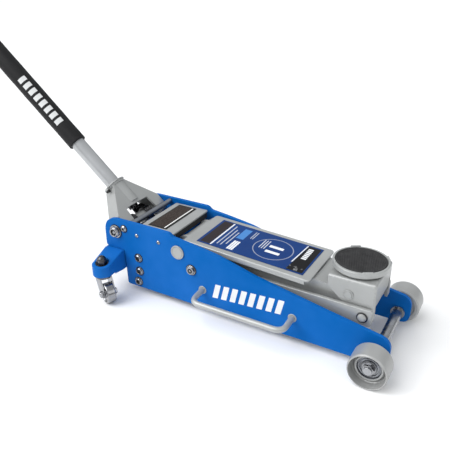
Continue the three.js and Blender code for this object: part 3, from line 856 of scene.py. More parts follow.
@dataclass(frozen=True)
class Rubber:
    """Moulded rubber with a dusty bloom."""
    # Moulded rubber with a pale dust, which is also mixed onto the eased edges as a painted highlight.

    name: str
    colour: Colour
    bloom: Colour
    roughness: float
    relief: float

    def material(self) -> bpy.types.Material:
        """Builds the rubber's material."""
        tree = Tree(self.name)
        dust = tree.noise(70, 5, 0.65).ramped(0.35, 0.75)
        grain = tree.noise(1500, 3, 0.6)
        # Dust lightens the rubber in patches, and the eased edges are lightened as a painted highlight.
        colour = tree.mixed(dust * 0.5 + tree.attribute(WEAR_AND_SHEEN) * 0.3, self.colour, self.bloom)
        return tree.finished(
            {"Specular IOR Level": 0.35}, Base_Color=colour,
            Roughness=self.roughness + dust * 0.1 + grain * 0.06,
            Normal=tree.bumped(grain + dust * 0.4, self.relief)
        )


@dataclass(frozen=True)
class FoamSkin:
    """Closed-cell foam with a satin skin, printed with plain bars along its length."""

    name: str
    colour: Colour
    bars: Colour
    bar_pitch: float = 0.0185
    bar_from: float = 0.16
    bar_to: float = 0.62
    bar_middle: float = 0.373
    bar_half: float = 0.075

    def material(self) -> bpy.types.Material:
        """Builds the foam's material; its map runs along the sleeve and once round it."""
        tree = Tree(self.name)
        along, around, _ = tree.axes(tree.node("ShaderNodeUVMap", {"uv_map": STRAND}, {}))
        cells = tree.noise(2200, 2, 0.5)
        skin = tree.noise(120, 4, 0.6)
        wipes = tree.noise(30, 4, 0.7, tree.scaled((0.4, 3, 1), (0, 0.7, 0)))
        colour = tree.mixed(
            wipes.ramped(0.45, 0.8) * 0.35, self.colour, tuple(c + 0.02 for c in self.colour)
        )
        band = along.within(self.bar_from, self.bar_to) * (abs(around - self.bar_middle) < self.bar_half)
        gaps = (along * 0.321).wrapped(self.bar_pitch).ramped(
            self.bar_pitch * 0.62, self.bar_pitch * 0.66, 1, 0
        )
        print_mask = band * gaps * 0.92
        return tree.finished(
            {"Specular IOR Level": 0.22}, Base_Color=tree.mixed(print_mask, colour, self.bars),
            Roughness=0.5 + skin * 0.16 + wipes * 0.08, Normal=tree.bumped(cells * 0.6 + skin, 0.00018)
        )


@dataclass(frozen=True)
class ArmLabel:
    """Printed vinyl on the arm cover: a dark strip, a blue field with bars and a ring, and a black end with a
    painted glare on it.
    """

    name: str
    field_blue: Colour = (0.001, 0.032, 0.16)
    strip: Colour = (0.022, 0.014, 0.01)
    end_black: Colour = (0.003, 0.003, 0.004)
    white: Colour = (0.8, 0.82, 0.84)
    pale_blue: Colour = (0.06, 0.22, 0.55)

    def material(self) -> bpy.types.Material:
        """Builds the label's material; shares run from its rear edge to its front, and from right to left."""
        tree = Tree(self.name)
        low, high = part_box("arm_label")
        x, y, _ = tree.axes(tree.position())
        along = x.ramped(low.x, high.x)
        across = y.ramped(low.y, high.y)
        length = high.x - low.x
        width = high.y - low.y
        inner = across.within(0.035, 0.965)
        strip = along.within(0.022, 0.118) * inner
        rule = along.within(0.122, 0.136) * inner
        thin_bars = sum(
            along.within(start, start + 0.011) * across.within(low_share, high_share)
            for start, low_share, high_share in ((0.165, 0.12, 0.9), (0.2, 0.12, 0.78), (0.235, 0.2, 0.7))
        )
        plaque = along.within(0.272, 0.335) * across.within(0.06, 0.4)
        plaque_lines = plaque * ((along - 0.272).wrapped(0.021) < 0.004)
        tint = along.within(0.26, 0.33) * across.within(0.5, 0.9)
        notes = along.within(0.37, 0.41) * across.within(0.62, 0.9) * ((along - 0.37).wrapped(0.02) < 0.009)
        ring_x = (along - 0.625) * length
        ring_y = (across - 0.5) * width
        radius = tree.node("ShaderNodeMath", {"operation": "SQRT"}, {0: ring_x * ring_x + ring_y * ring_y})
        ring = radius.within(0.0405, 0.0425)
        dashes = along.within(0.5, 0.56) * across.within(0.42, 0.74) * ((along - 0.5).wrapped(0.023) < 0.009)
        block_one = (abs(ring_x - 0.004) < 0.0155) * (abs(ring_y - 0.009) < 0.0045)
        block_two = (abs(ring_x - 0.004) < 0.0155) * (abs(ring_y + 0.013) < 0.0045)
        slant = along - (across - 0.5) * 0.03
        end = (slant > 0.855) * inner * (along < 0.985)
        end_rule = slant.within(0.842, 0.852) * across.within(0.3, 0.965)
        bar = along.within(0.885, 0.93) * across.within(0.48, 0.9)
        bar_lines = bar * ((across - 0.48).wrapped(0.06) < 0.045)
        # A patchy pale streak on the black end is a painted glare.
        painted_glare = end * across.within(0.06, 0.2) * tree.noise(120, 3).ramped(0.55, 0.7)
        white = (
            rule + thin_bars * 0.55 + plaque - plaque_lines + notes * 0.5 + ring * 0.35 + dashes * 0.7
            + block_one + block_two + end_rule + bar_lines
        ).ramped(0, 1)
        colour = tree.mixed(tree.noise(14, 2).ramped(0.3, 0.7) * 0.5, self.field_blue, (0.001, 0.045, 0.21))
        for mask, paint in (
            (tint, self.pale_blue), (strip * (0.75 + tree.noise(500, 2) * 0.4), self.strip),
            (end, self.end_black), (painted_glare * 0.5, self.white), (white, self.white)
        ):
            colour = tree.mixed(mask, colour, paint)
        film = tree.noise(40, 4, 0.6)
        return tree.finished(
            {"Coat Weight": 0.04, "Coat Roughness": 0.2, "Specular IOR Level": 0.14}, Base_Color=colour,
            Roughness=film.ramped(0.3, 0.7, 0.28, 0.42),
            Normal=tree.bumped(film + tree.noise(900, 2) * 0.2, 0.00003)
        )


@dataclass(frozen=True)
class RearLabel:
    """Printed vinyl on the rear cover: a dark panel, faint rows, and a white rule near its front."""

    name: str
    panel: Colour = (0.024, 0.015, 0.011)
    border: Colour = (0.003, 0.003, 0.003)
    white: Colour = (0.82, 0.82, 0.8)

    def material(self) -> bpy.types.Material:
        """Builds the label's material; shares run from its rear edge to its front, and from right to left."""
        tree = Tree(self.name)
        low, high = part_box("rear_label")
        x, y, _ = tree.axes(tree.position())
        along = x.ramped(low.x, high.x)
        across = y.ramped(low.y, high.y)
        panel = along.within(0.05, 0.78) * across.within(0.03, 0.97)
        rows = panel * ((along - 0.05).wrapped(0.085) < 0.035) * tree.noise(260, 2).ramped(0.45, 0.55)
        rule = along.within(0.82, 0.885) * across.within(0.03, 0.97)
        colour = tree.mixed(panel, self.border, self.panel)
        colour = tree.mixed(rows * 0.22, colour, (0.2, 0.17, 0.15))
        colour = tree.mixed(rule, colour, self.white)
        film = tree.noise(40, 4, 0.6)
        return tree.finished(
            {"Coat Weight": 0.04, "Coat Roughness": 0.2, "Specular IOR Level": 0.14}, Base_Color=colour,
            Roughness=film.ramped(0.3, 0.7, 0.3, 0.44), Normal=tree.bumped(film, 0.00003)
        )


class Finishes:
    """The materials of the jack, each built once."""

    def __init__(self) -> None:
        """Builds every finish."""
        steel = (0.42, 0.43, 0.45)
        self.blue = Paint(
            "blue enamel", (0.0003, 0.12, 0.45), (0.01, 0.17, 0.54), 0.34, clouding=0.05, shine=0.04
        ).material()
        self.grey = Paint(
            "silver-grey paint", (0.39, 0.4, 0.395), (0.56, 0.57, 0.57), 0.36, metal=0.35, clouding=0.05
        ).material()
        self.wheel = Paint(
            "wheel paint", (0.4, 0.405, 0.4), (0.55, 0.56, 0.56), 0.38, metal=0.35, clouding=0.06
        ).material()
        self.tube = Paint(
            "tube paint", (0.43, 0.44, 0.45), (0.6, 0.61, 0.62), 0.3, metal=0.5, clouding=0.04
        ).material()
        self.zinc = Metal("bright zinc", (0.36, 0.365, 0.38), (0.1, 0.1, 0.105), 0.13).material()
        self.axle_steel = Metal(
            "drawn steel", steel, (0.12, 0.11, 0.1), 0.2, (0.15, 5, 5), 0.00006
        ).material()
        self.machined = Metal(
            "machined steel", (0.3, 0.31, 0.33), (0.07, 0.07, 0.08), 0.2, filmed=0.6
        ).material()
        self.dull = Metal("dull zinc", (0.3, 0.32, 0.35), (0.1, 0.11, 0.12), 0.3, filmed=0.3).material()
        self.dark = Metal("black oxide", (0.09, 0.09, 0.095), (0.03, 0.03, 0.032), 0.2).material()
        self.chrome = Metal("hard chrome", (0.55, 0.56, 0.57), (0.3, 0.3, 0.3), 0.07, filmed=0.15).material()
        self.iron = Casting("pump casting", (0.03, 0.031, 0.033)).material()
        self.pad = Rubber("pad rubber", (0.02, 0.02, 0.021), (0.075, 0.075, 0.077), 0.6, 0.0002).material()
        self.grip = Rubber("grip rubber", (0.016, 0.016, 0.017), (0.05, 0.05, 0.05), 0.52, 0.0001).material()
        # Near-black rubber for the dark strips, rings and blocks that paint shade.
        self.tip = Rubber("ear tips", (0.01, 0.01, 0.011), (0.03, 0.03, 0.03), 0.45, 0.0001).material()
        self.foam = FoamSkin("sleeve foam", (0.011, 0.011, 0.012), (0.72, 0.73, 0.73)).material()
        self.arm_label = ArmLabel("arm label").material()
        self.rear_label = RearLabel("rear label").material()
        self.white = Paint(
            "white print", (0.82, 0.83, 0.84), (0.7, 0.72, 0.75), 0.35, clouding=0.02, scuffs=0.3
        ).material()


# ---------- repeated shapes ----------
class Pattern:
    """Geometry Nodes tree with named inputs, whose result is made real and given a finish."""

    def __init__(self, name: str, inputs: dict[str, str]) -> None:
        """Starts the tree.

        Args:
            name: the tree's name.
            inputs: the kind of each named input, besides the finish.
        """
        self.tree = bpy.data.node_groups.new(name, "GeometryNodeTree")
        self.sockets: dict[str, str] = {}
        for key, kind in {**inputs, "Finish": "Material"}.items():
            socket = self.tree.interface.new_socket(key, in_out="INPUT", socket_type=f"NodeSocket{kind}")
            self.sockets[key] = socket.identifier
        self.tree.interface.new_socket("Result", in_out="OUTPUT", socket_type="NodeSocketGeometry")
        self.given = self.tree.nodes.new("NodeGroupInput").outputs

    def node(self, kind: str, links: dict[Any, bpy.types.NodeSocket], **settings: Any) -> bpy.types.Node:
        """Adds a node.

        Args:
            kind: the node's type.
            links: the output that each of its inputs takes, by name or number.
            settings: its properties.

        Returns:
            The node.
        """
        made = self.tree.nodes.new(kind)
        for key, setting in settings.items():
            setattr(made, key, setting)
        for key, output in links.items():
            self.tree.links.new(output, made.inputs[key])
        return made

    def end(self, result: bpy.types.NodeSocket) -> None:
        """Makes the result real, gives it the finish, and ends the tree."""
        real = self.node("GeometryNodeRealizeInstances", {0: result})
        links = {"Geometry": real.outputs[0], "Material": self.given["Finish"]}
        painted = self.node("GeometryNodeSetMaterial", links)
        self.node("NodeGroupOutput", {"Result": painted.outputs[0]})

    def drawn(self, mesh: bpy.types.Mesh, **values: Any) -> Shape:
        """Carries the tree out.

        Args:
            mesh: the mesh it starts from, which is used up.
            values: its inputs.

        Returns:
            The result as a shape.
        """
        draft = linked("draft", mesh)
        modifier = draft.modifiers.new("drawn", "NODES")
        modifier.node_group = self.tree
        for key, value in values.items():
            modifier[self.sockets[key]] = value
        result = plain_mesh(draft)
        bpy.data.objects.remove(draft)
        bpy.data.meshes.remove(mesh)
        return Shape.of_mesh(result)


class Layout(Enum):
    """How the copies of a repeated shape are set out, and the inputs that each way takes."""

    LINE = {"Count": "Int", "Start": "Vector", "Step": "Vector"}
    RING = {"Count": "Int", "Radius": "Float"}
    DISC = {"Count": "Int", "Across": "Float", "Radius": "Float"}


class Repeat(Pattern):
    """Copies of a small shape."""

    def __init__(self, layout: Layout) -> None:
        """Builds the node tree of one layout.

        Args:
            layout: how the copies are set out.
        """
        super().__init__(f"{layout.name.lower()} of copies", {"Shape": "Object", **layout.value})
        builders = {Layout.LINE.name: self.line, Layout.RING.name: self.ring, Layout.DISC.name: self.disc}
        shape = self.node("GeometryNodeObjectInfo", {"Object": self.given["Shape"]})
        links = {"Instance": shape.outputs["Geometry"], **builders[layout.name]()}
        self.end(self.node("GeometryNodeInstanceOnPoints", links).outputs["Instances"])

    def line(self) -> dict[str, bpy.types.NodeSocket]:
        """Points in a straight row from Start, each one Step further."""
        given = self.given
        links = {"Count": given["Count"], "Start Location": given["Start"], "Offset": given["Step"]}
        return {"Points": self.node("GeometryNodeMeshLine", links).outputs[0]}

    def ring(self) -> dict[str, bpy.types.NodeSocket]:
        """Points round a circle of one Radius, each shape's X pointing outwards."""
        links = {"Vertices": self.given["Count"], "Radius": self.given["Radius"]}
        ring = self.node("GeometryNodeMeshCircle", links)
        at = self.node("GeometryNodeInputPosition", {})
        facing = self.node("FunctionNodeAlignRotationToVector", {"Vector": at.outputs[0]}, axis="X")
        return {"Points": ring.outputs[0], "Rotation": facing.outputs[0]}

    def disc(self) -> dict[str, bpy.types.NodeSocket]:
        """Points of a square grid, Across wide, that lie inside one Radius."""
        links = {f"Size {axis}": self.given["Across"] for axis in "XY"}
        links.update({f"Vertices {axis}": self.given["Count"] for axis in "XY"})
        grid = self.node("GeometryNodeMeshGrid", links)
        at = self.node("GeometryNodeInputPosition", {})
        reach = self.node("ShaderNodeVectorMath", {0: at.outputs[0]}, operation="LENGTH")
        links = {"A": reach.outputs["Value"], "B": self.given["Radius"]}
        beyond = self.node("FunctionNodeCompare", links)
        links = {"Geometry": grid.outputs[0], "Selection": beyond.outputs[0]}
        return {"Points": self.node("GeometryNodeDeleteGeometry", links).outputs[0]}

    def copies(self, shape: Shape, finish: bpy.types.Material, **sizes: Any) -> Shape:
        """Sets out copies of a shape.

        Args:
            shape: the small shape, about its own origin, in millimetres.
            finish: its material.
            sizes: the layout's other inputs, in millimetres.

        Returns:
            The copies as one shape, in millimetres.
        """
        pattern = linked("pattern", shape.mesh("pattern"))
        copies = self.drawn(bpy.data.meshes.new("copies"), Shape=pattern, Finish=finish, **sizes)
        bpy.data.objects.remove(pattern)
        return copies


class Sweep(Pattern):
    """Round bar along a line of points."""

    def __init__(self) -> None:
        """Builds the node tree."""
        super().__init__("bar along a line", {"Line": "Geometry", "Radius": "Float", "Sides": "Int"})
        line = self.node("GeometryNodeMeshToCurve", {"Mesh": self.given["Line"]})
        links = {"Radius": self.given["Radius"], "Resolution": self.given["Sides"]}
        section = self.node("GeometryNodeCurvePrimitiveCircle", links)
        links = {"Curve": line.outputs[0], "Profile Curve": section.outputs[0]}
        bar = self.node("GeometryNodeCurveToMesh", links)
        bar.inputs["Fill Caps"].default_value = True
        self.end(bar.outputs[0])

    def along(self, path: list[Vector], radius: float, finish: bpy.types.Material, sides: int = 24) -> Shape:
        """Draws a bar.

        Args:
            path: points of its middle line, in millimetres.
            radius: radius of the bar.
            finish: its material.
            sides: sides of the bar.

        Returns:
            The closed bar.
        """
        line = bpy.data.meshes.new("line")
        line.from_pydata(path, [(index, index + 1) for index in range(len(path) - 1)], [])
        return self.drawn(line, Radius=float(radius), Sides=sides, Finish=finish)


# ---------- common parts ----------
def hexagon(radius: float, low: float, high: float) -> Shape:
    """Hexagon head about Z with eased corners and a chamfered top.

    Args:
        radius: from its middle to a corner.
        low: where it starts.
        high: its top.

    Returns:
        The head.
    """
    head = Shape.plate(circle(0, 0, radius, 6), low, high, Plane.XY)
    cone = Shape.turned(
        [
            (0, low - 1), (radius * 1.1, low - 1), (radius * 1.1, high - 2.2), (radius * 0.84, high),
            (0, high)
        ],
        48
    )
    return head.combined(cone, Cut.INTERSECT).eased(0.35, 2, 25)


def washer(inner: float, outer: float, low: float, high: float) -> Shape:
    """Flat washer about Z.

    Args:
        inner: radius of its hole.
        outer: its outer radius.
        low: where it starts.
        high: its top.

    Returns:
        The washer.
    """
    ease = min(0.4, (high - low) / 3)
    return Shape.turned([(inner, low), (outer, low, ease), (outer, high, ease), (inner, high, ease)], 48)


def rod(radius: float, low: float, high: float, ease: float = 0.5, segments: int = 48) -> Shape:
    """Plain round bar about Z with eased ends.

    Args:
        radius: its radius.
        low: where it starts.
        high: where it ends.
        ease: rounding of its ends.
        segments: sides.

    Returns:
        The bar.
    """
    return Shape.turned([(0, low), (radius, low, ease), (radius, high, ease), (0, high)], segments)


# ---------- sub-assemblies ----------
@dataclass
class Assembly:
    """Pieces of the jack that are built together."""

    bench: Bench
    finishes: Finishes

    def stand(
        self, node: str, shape: Shape, finish: bpy.types.Material, slot: Slot, crease: float = 32
    ) -> bpy.types.Object:
        """Makes the piece that stands for one CAD node.

        Args:
            node: the CAD node's name.
            shape: its shape in millimetres.
            finish: its material.
            slot: the record's slot of its finish.
            crease: an edge sharper than this many degrees stays sharp.

        Returns:
            The finished object.
        """
        return self.bench.fit(f"{node}_finished", shape, finish, slot, [node], crease=crease)

    def ride(
        self, name: str, shape: Shape, finish: bpy.types.Material, slot: Slot, body: str = "root",
        crease: float = 32
    ) -> None:
        """Makes a small piece that stands for no node and rides on a body.

        Args:
            name: the piece's name.
            shape: its shape in millimetres.
            finish: its material.
            slot: the record's slot of its finish.
            body: the body it rides on.
            crease: an edge sharper than this many degrees stays sharp.
        """
        self.bench.fit(name, shape, finish, slot, body=body, crease=crease)


@dataclass
class Chassis(Assembly):
    """Side plates, their cross rod, rear cover, cover screws and carry handles."""

    outside: float = PLATE_FACE
    thick: float = 8
    top: float = 171
    bottom: float = 15
    edge: float = 1.3
    notch: tuple = (-571, 99)
    screw_at: tuple = ((-534, 143.7), (-477, 142))
    bar_radius: float = 6
    bar_out: float = 127.5
    bar_bend: float = 20
    stripe_from: float = -345
    stripe_pitch: float = 20.2
    stripe_low: float = 48.5
    stripe_tall: float = 33

    def build(self) -> None:
        """Makes every piece of the chassis."""
        for side in Side:
            self.side_plate(side)
            self.carry_handle(side)
            self.cover_screws(side)
        self.rear_cover()
        self.tie_rod()
        self.side_stripes()
        self.bench.dress("rear_label", self.finishes.rear_label)

    def side_plate(self, side: Side) -> None:
        """Cuts one side plate and rounds its edges."""
        shape = rounded(
            [
                (-568, self.bottom, 6), (24, self.bottom, 20), (24, 74, 26), (-112, 99, 60),
                (-250, 126, 120), (-336, 149, 120), (-398, 158, 60), (-440, 163, 12), (-450, self.top, 12),
                (-621.5, self.top, 44), (-621.5, self.notch[1], 8), (*self.notch, 4)
            ],
            14
        )
        axle = place("front_axle")
        shaft = place("arm_pivot_shaft")
        holes = [circle(axle.x, axle.z, 10.8), circle(shaft.x, shaft.z, 12.3)]
        inner = side.value * (self.outside - self.thick)
        outer = side.value * self.outside
        plate = Shape.plate(shape, min(inner, outer), max(inner, outer), Plane.XZ, holes)
        name = f"side_plate_{side.label}"
        self.stand(name, plate.eased(self.edge, 3), self.finishes.blue, Slot.BLUE)

    def tie_rod(self) -> None:
        """Turns the cross rod behind the rear cover."""
        low, high = extent("rear_tie_rod")
        at = place("rear_tie_rod")
        bar = rod((high.z - low.z) / 2, low.y, high.y, 0.8).moved(outwards(Side.LEFT, at))
        self.stand("rear_tie_rod", bar, self.finishes.dull, Slot.ZINC)

    def rear_cover(self) -> None:
        """Folds the rear cover, with a soft bend along its edges, and sets a dark strip on its front lip as
        painted shade in the gap between the covers.
        """
        _, high = extent("rear_cover")
        sheet = Shape.of_node("rear_cover")
        top = high.z
        sheet.eased(2.4, 4, 40, lambda at: at.z > top - 0.2)
        sheet.eased(0.6, 2, 40, lambda at: at.z < top - 2.6)
        self.stand("rear_cover", sheet, self.finishes.grey, Slot.GREY)
        # A dark strip on the lip's front face paints the shade in the gap between the rear cover and the arm
        # cover.
        shade_strip = Shape.block((high.x + 0.15, -62, top - 15.2), (high.x + 1.5, 62, top - 3.4)).eased(0.4, 2)
        self.ride("rear_cover_seal", shade_strip, self.finishes.tip, Slot.RUBBER)

    def cover_screws(self, side: Side) -> None:
        """Sets the two round-headed screws that hold the covers to one plate."""
        head = Shape.turned([(0, 0), (4.4, 0), (4.4, 0.8, 0.3), (2.6, 2.4, 1.6), (0, 2.9)], 24)
        head = head.cut_by(
            Shape.block((-0.6, -3.2, 1.5), (0.6, 3.2, 4))
        ).cut_by(Shape.block((-3.2, -0.6, 1.5), (3.2, 0.6, 4)))
        (x0, z0), (x1, z1) = self.screw_at
        start = Vector((x0, 0, z0))
        turn = outwards(side, Vector((0, 0, 0)))
        step = turn.inverted() @ Vector((x1 - x0, 0, z1 - z0))
        first = turn.inverted() @ start + Vector((0, 0, self.outside))
        row = Repeat(Layout.LINE).copies(head, self.finishes.zinc, Count=2, Start=first, Step=step)
        name = f"cover_screws_{side.label}"
        self.ride(name, row.moved(turn), self.finishes.zinc, Slot.ZINC)

    def side_stripes(self) -> None:
        """Prints a row of plain slanted bars on the outside of each plate."""
        tall = self.stripe_tall
        for side in Side:
            outline = rounded([(0, 0, 1), (12.5, 0.8, 1), (20, tall + 0.8, 1), (7.5, tall, 1)], 3)
            bar = Shape.plate(outline, -0.12, 0.12)
            start = (self.stripe_from, side.value * self.outside, self.stripe_low)
            row = Repeat(Layout.LINE).copies(
                bar, self.finishes.white, Count=8, Start=start, Step=(self.stripe_pitch, 0, 1.3)
            )
            self.ride(f"side_stripes_{side.label}", row, self.finishes.white, Slot.BLUE)

    def carry_handle(self, side: Side) -> None:
        """Bends the carry handle of one side and welds its ends to the plate."""
        low, high = extent(f"carry_handle_{side.label}")
        radius = self.bar_radius
        rear, front = low.x + radius, high.x - radius
        bar_z = low.z + radius
        end_z = high.z - radius - 1
        wall = side.value * (self.outside - 0.5)
        out = side.value * self.bar_out
        legs = ((rear, 1), (front, -1))
        path: list[Vector] = []
        for x, inward in legs:
            corner = Vector((x, out, bar_z))
            start = Vector((x, wall, end_z))
            leg_end = corner + (start - corner).normalized() * self.bar_bend
            bar_start = corner + Vector((inward * self.bar_bend, 0, 0))
            leg = [start, *curve(leg_end, corner, bar_start, 10)]
            path += leg if inward > 0 else list(reversed(leg))
        bar = Sweep().along(path, radius, self.finishes.grey, 32)
        bead = Shape.turned([(0, -1.1, 0.8), (2.4, -1.1, 0.8), (2.4, 1.3, 1), (0, 1.3, 0.8)], 10, 2)
        welds = []
        for x, _ in legs:
            ring = Repeat(Layout.RING).copies(
                bead.copy(), self.finishes.grey, Count=22, Radius=radius + 0.8
            )
            welds.append(ring.moved(outwards(side, Vector((x, 0, end_z)))))
        lift = Matrix.Translation((0, side.value * self.outside, 0))
        bar.plus(*(weld.moved(lift) for weld in welds))
        name = f"carry_handle_{side.label}"
        self.stand(name, bar, self.finishes.grey, Slot.GREY, crease=60)


@dataclass
class Fasteners(Assembly):
    """Bolts and pins that show on the plates."""

    plate: float = PLATE_FACE
    link_face: float = 65.1

    def build(self) -> None:
        """Makes every bolt on both sides."""
        for side in Side:
            self.handle_bolt(side)
            self.stop_bolt(side)
            self.link_bolt(side)
            self.link_front_bolt(side)
            for index in range(1, 4):
                self.bracket_bolt(side, index)
            self.seals(side)
        self.arm_shaft()
        self.saddle_pin()
        self.ram_pin()

    def set_bolt(
        self, node: str, side: Side, bolt: Shape, finish: Optional[bpy.types.Material] = None
    ) -> None:
        """Puts a finished bolt in its place.

        Args:
            node: the CAD node it stands for.
            side: the side it faces.
            bolt: its shape about Z, counted from the middle plane.
            finish: its material, or None for zinc.
        """
        self.stand(node, bolt.moved(outwards(side, place(node))), finish or self.finishes.zinc, Slot.ZINC)

    def handle_bolt(self, side: Side) -> None:
        """Socket-headed pivot bolt of the handle, on a broad washer."""
        node = f"handle_pivot_bolt_{side.label}"
        face = self.plate
        bolt = rod(8, 60, face + 0.5)
        bolt.plus(washer(7.5, 15, face + 0.3, face + 2.6))
        head = Shape.turned(
            [
                (0, 2.5), (12, 2.5, 0.6), (12, 7, 1.6), (9.8, 10.2, 1), (7.4, 10.2, 0.6), (6.4, 6.4, 0.6),
                (3.6, 6.4, 0.5), (3.2, 8.2, 0.5), (0, 8.2)
            ],
            64, base=face
        )
        bolt.plus(head)
        self.set_bolt(node, side, bolt)

    def stop_bolt(self, side: Side) -> None:
        """Small button-headed stop bolt."""
        node = f"stop_bolt_{side.label}"
        face = self.plate
        head = Shape.turned(
            [
                (0, 0.2), (8, 0.2, 0.4), (7.6, 2.2, 1.4), (5, 4.2, 1), (3.2, 4.2, 0.3), (2.8, 2.2, 0.3),
                (0, 2.2)
            ],
            base=face
        )
        bolt = rod(4, 72, face + 0.5).plus(head)
        self.set_bolt(node, side, bolt)

    def link_bolt(self, side: Side) -> None:
        """Hexagon bolt that the levelling link turns on, with its spacer."""
        node = f"link_pivot_bolt_{side.label}"
        face = self.plate
        bolt = rod(6, 53.3, face + 0.5)
        bolt.plus(rod(10, self.link_face, 73.7), washer(5.5, 11, face + 0.2, face + 1.8))
        bolt.plus(hexagon(9.6, face + 1.7, face + 6.2))
        self.set_bolt(node, side, bolt)

    def link_front_bolt(self, side: Side) -> None:
        """Round-headed bolt at the front of the levelling link, on a dark washer that paints the shade in the
        hole round the head.
        """
        node = f"link_front_bolt_{side.label}"
        face = self.link_face
        bolt = rod(6, 47, face + 0.5)
        bolt.plus(Shape.turned([(0, 1), (8.2, 1, 0.4), (8.2, 3.4, 1.6), (5, 5, 1.5), (0, 5)], base=face))
        self.set_bolt(node, side, bolt, self.finishes.grey)
        # The washer is dark to paint the shade in the hole round the bolt's head.
        ring = washer(5.5, 10.6, face, face + 1.4)
        name = f"link_front_washer_{side.label}"
        self.ride(
            name, ring.moved(outwards(side, place(node))), self.finishes.dark, Slot.DARK,
            body="saddle_bracket"
        )

    def bracket_bolt(self, side: Side, index: int) -> None:
        """Flanged socket-headed bolt of a caster bracket."""
        node = f"bracket_bolt_{side.label}_{index}"
        face = self.plate + 0.2
        bolt = rod(4, 66.7, face + 0.5)
        flange = [
            (3, face + 0.1), (9.4, face + 0.1, 0.3), (9.2, face + 1, 0.4), (7, face + 1.8, 0.4),
            (3, face + 1.8)
        ]
        head = [
            (0, face + 1), (8.2, face + 1, 0.4), (8.2, face + 3.4, 1.6), (6.6, face + 5.2, 0.8),
            (4.5, face + 5.2, 0.4), (4.2, face + 2.4, 0.3), (0, face + 2.4)
        ]
        bolt.plus(Shape.turned(flange, 48), Shape.turned(head, 48))
        turn = Matrix.Rotation(math.radians(17 * index), 4, "Z")
        bolt.moved(outwards(side, place(node)) @ turn)
        self.stand(node, bolt, self.finishes.zinc, Slot.ZINC)

    def seals(self, side: Side) -> None:
        """Dark rings round the bolt heads of one plate and dark discs in their sockets: painted shade where
        the heads meet the plate and inside the sockets.
        """
        face = self.plate
        handle = washer(15.1, 16.2, face + 0.1, face + 1).plus(washer(3.8, 6.2, face + 6.5, face + 6.8))
        stop = washer(8.1, 9.2, face + 0.1, face + 0.9).plus(rod(2.6, face + 2.3, face + 2.5))
        link = washer(11.1, 12.4, face + 0.1, face + 1).plus(washer(2.4, 5.4, face + 6.3, face + 6.6))
        bracket = washer(9.6, 10.9, face + 0.3, face + 1.1).plus(rod(4, face + 2.7, face + 2.9))
        parts = [("handle_pivot_bolt", "", handle), ("stop_bolt", "", stop), ("link_pivot_bolt", "", link)]
        parts += [("bracket_bolt", f"_{index}", bracket) for index in range(1, 4)]
        # The rings and discs paint the shade round and inside the bolt heads.
        rings = Shape()
        for name, ending, shape in parts:
            rings.plus(shape.copy().moved(outwards(side, place(f"{name}_{side.label}{ending}"))))
        self.ride(f"bolt_seals_{side.label}", rings, self.finishes.tip, Slot.RUBBER)

    def arm_shaft(self) -> None:
        """Painted pivot shaft of the arm, with a grooved disc at each end."""
        face = self.plate
        shaft = rod(12, -face, face)
        at = place("arm_pivot_shaft")
        shaft.moved(outwards(Side.LEFT, at))
        for side in Side:
            disc = Shape.turned(
                [
                    (0, 0.2), (15.5, 0.2, 0.5), (15.5, 3.2, 1), (13, 3.2, 0.3), (12.6, 2.2, 0.3),
                    (12.1, 2.2, 0.3), (11.7, 3.1, 0.3), (0, 3.1)
                ],
                72, base=face
            )
            shaft.plus(disc.moved(outwards(side, at)))
        self.stand("arm_pivot_shaft", shaft, self.finishes.grey, Slot.GREY)

    def saddle_pin(self) -> None:
        """Painted pin through the arm and the saddle bracket, with a ring-marked head at each end."""
        at = place("saddle_pin")
        _, high = extent("saddle_pin")
        pin = rod(8, -high.y + 1, high.y - 1).moved(outwards(Side.LEFT, at))
        for side in Side:
            top = high.y + 0.6
            head = Shape.turned(
                [
                    (0, high.y - 1.5), (10.2, high.y - 1.5), (10.2, top - 0.6, 0.6), (8.4, top - 0.6, 0.3),
                    (7.9, top - 1.2, 0.2), (7.5, top - 1.2, 0.2), (7, top, 0.5), (0, top)
                ]
            )
            pin.plus(head.moved(outwards(side, at)))
        self.stand("saddle_pin", pin, self.finishes.grey, Slot.ZINC)

    def ram_pin(self) -> None:
        """Pin between the ram and the arm's levers."""
        low, high = extent("ram_pin")
        pin = rod((high.z - low.z) / 2, low.y, high.y, 0.8).moved(outwards(Side.LEFT, place("ram_pin")))
        self.stand("ram_pin", pin, self.finishes.zinc, Slot.ZINC)


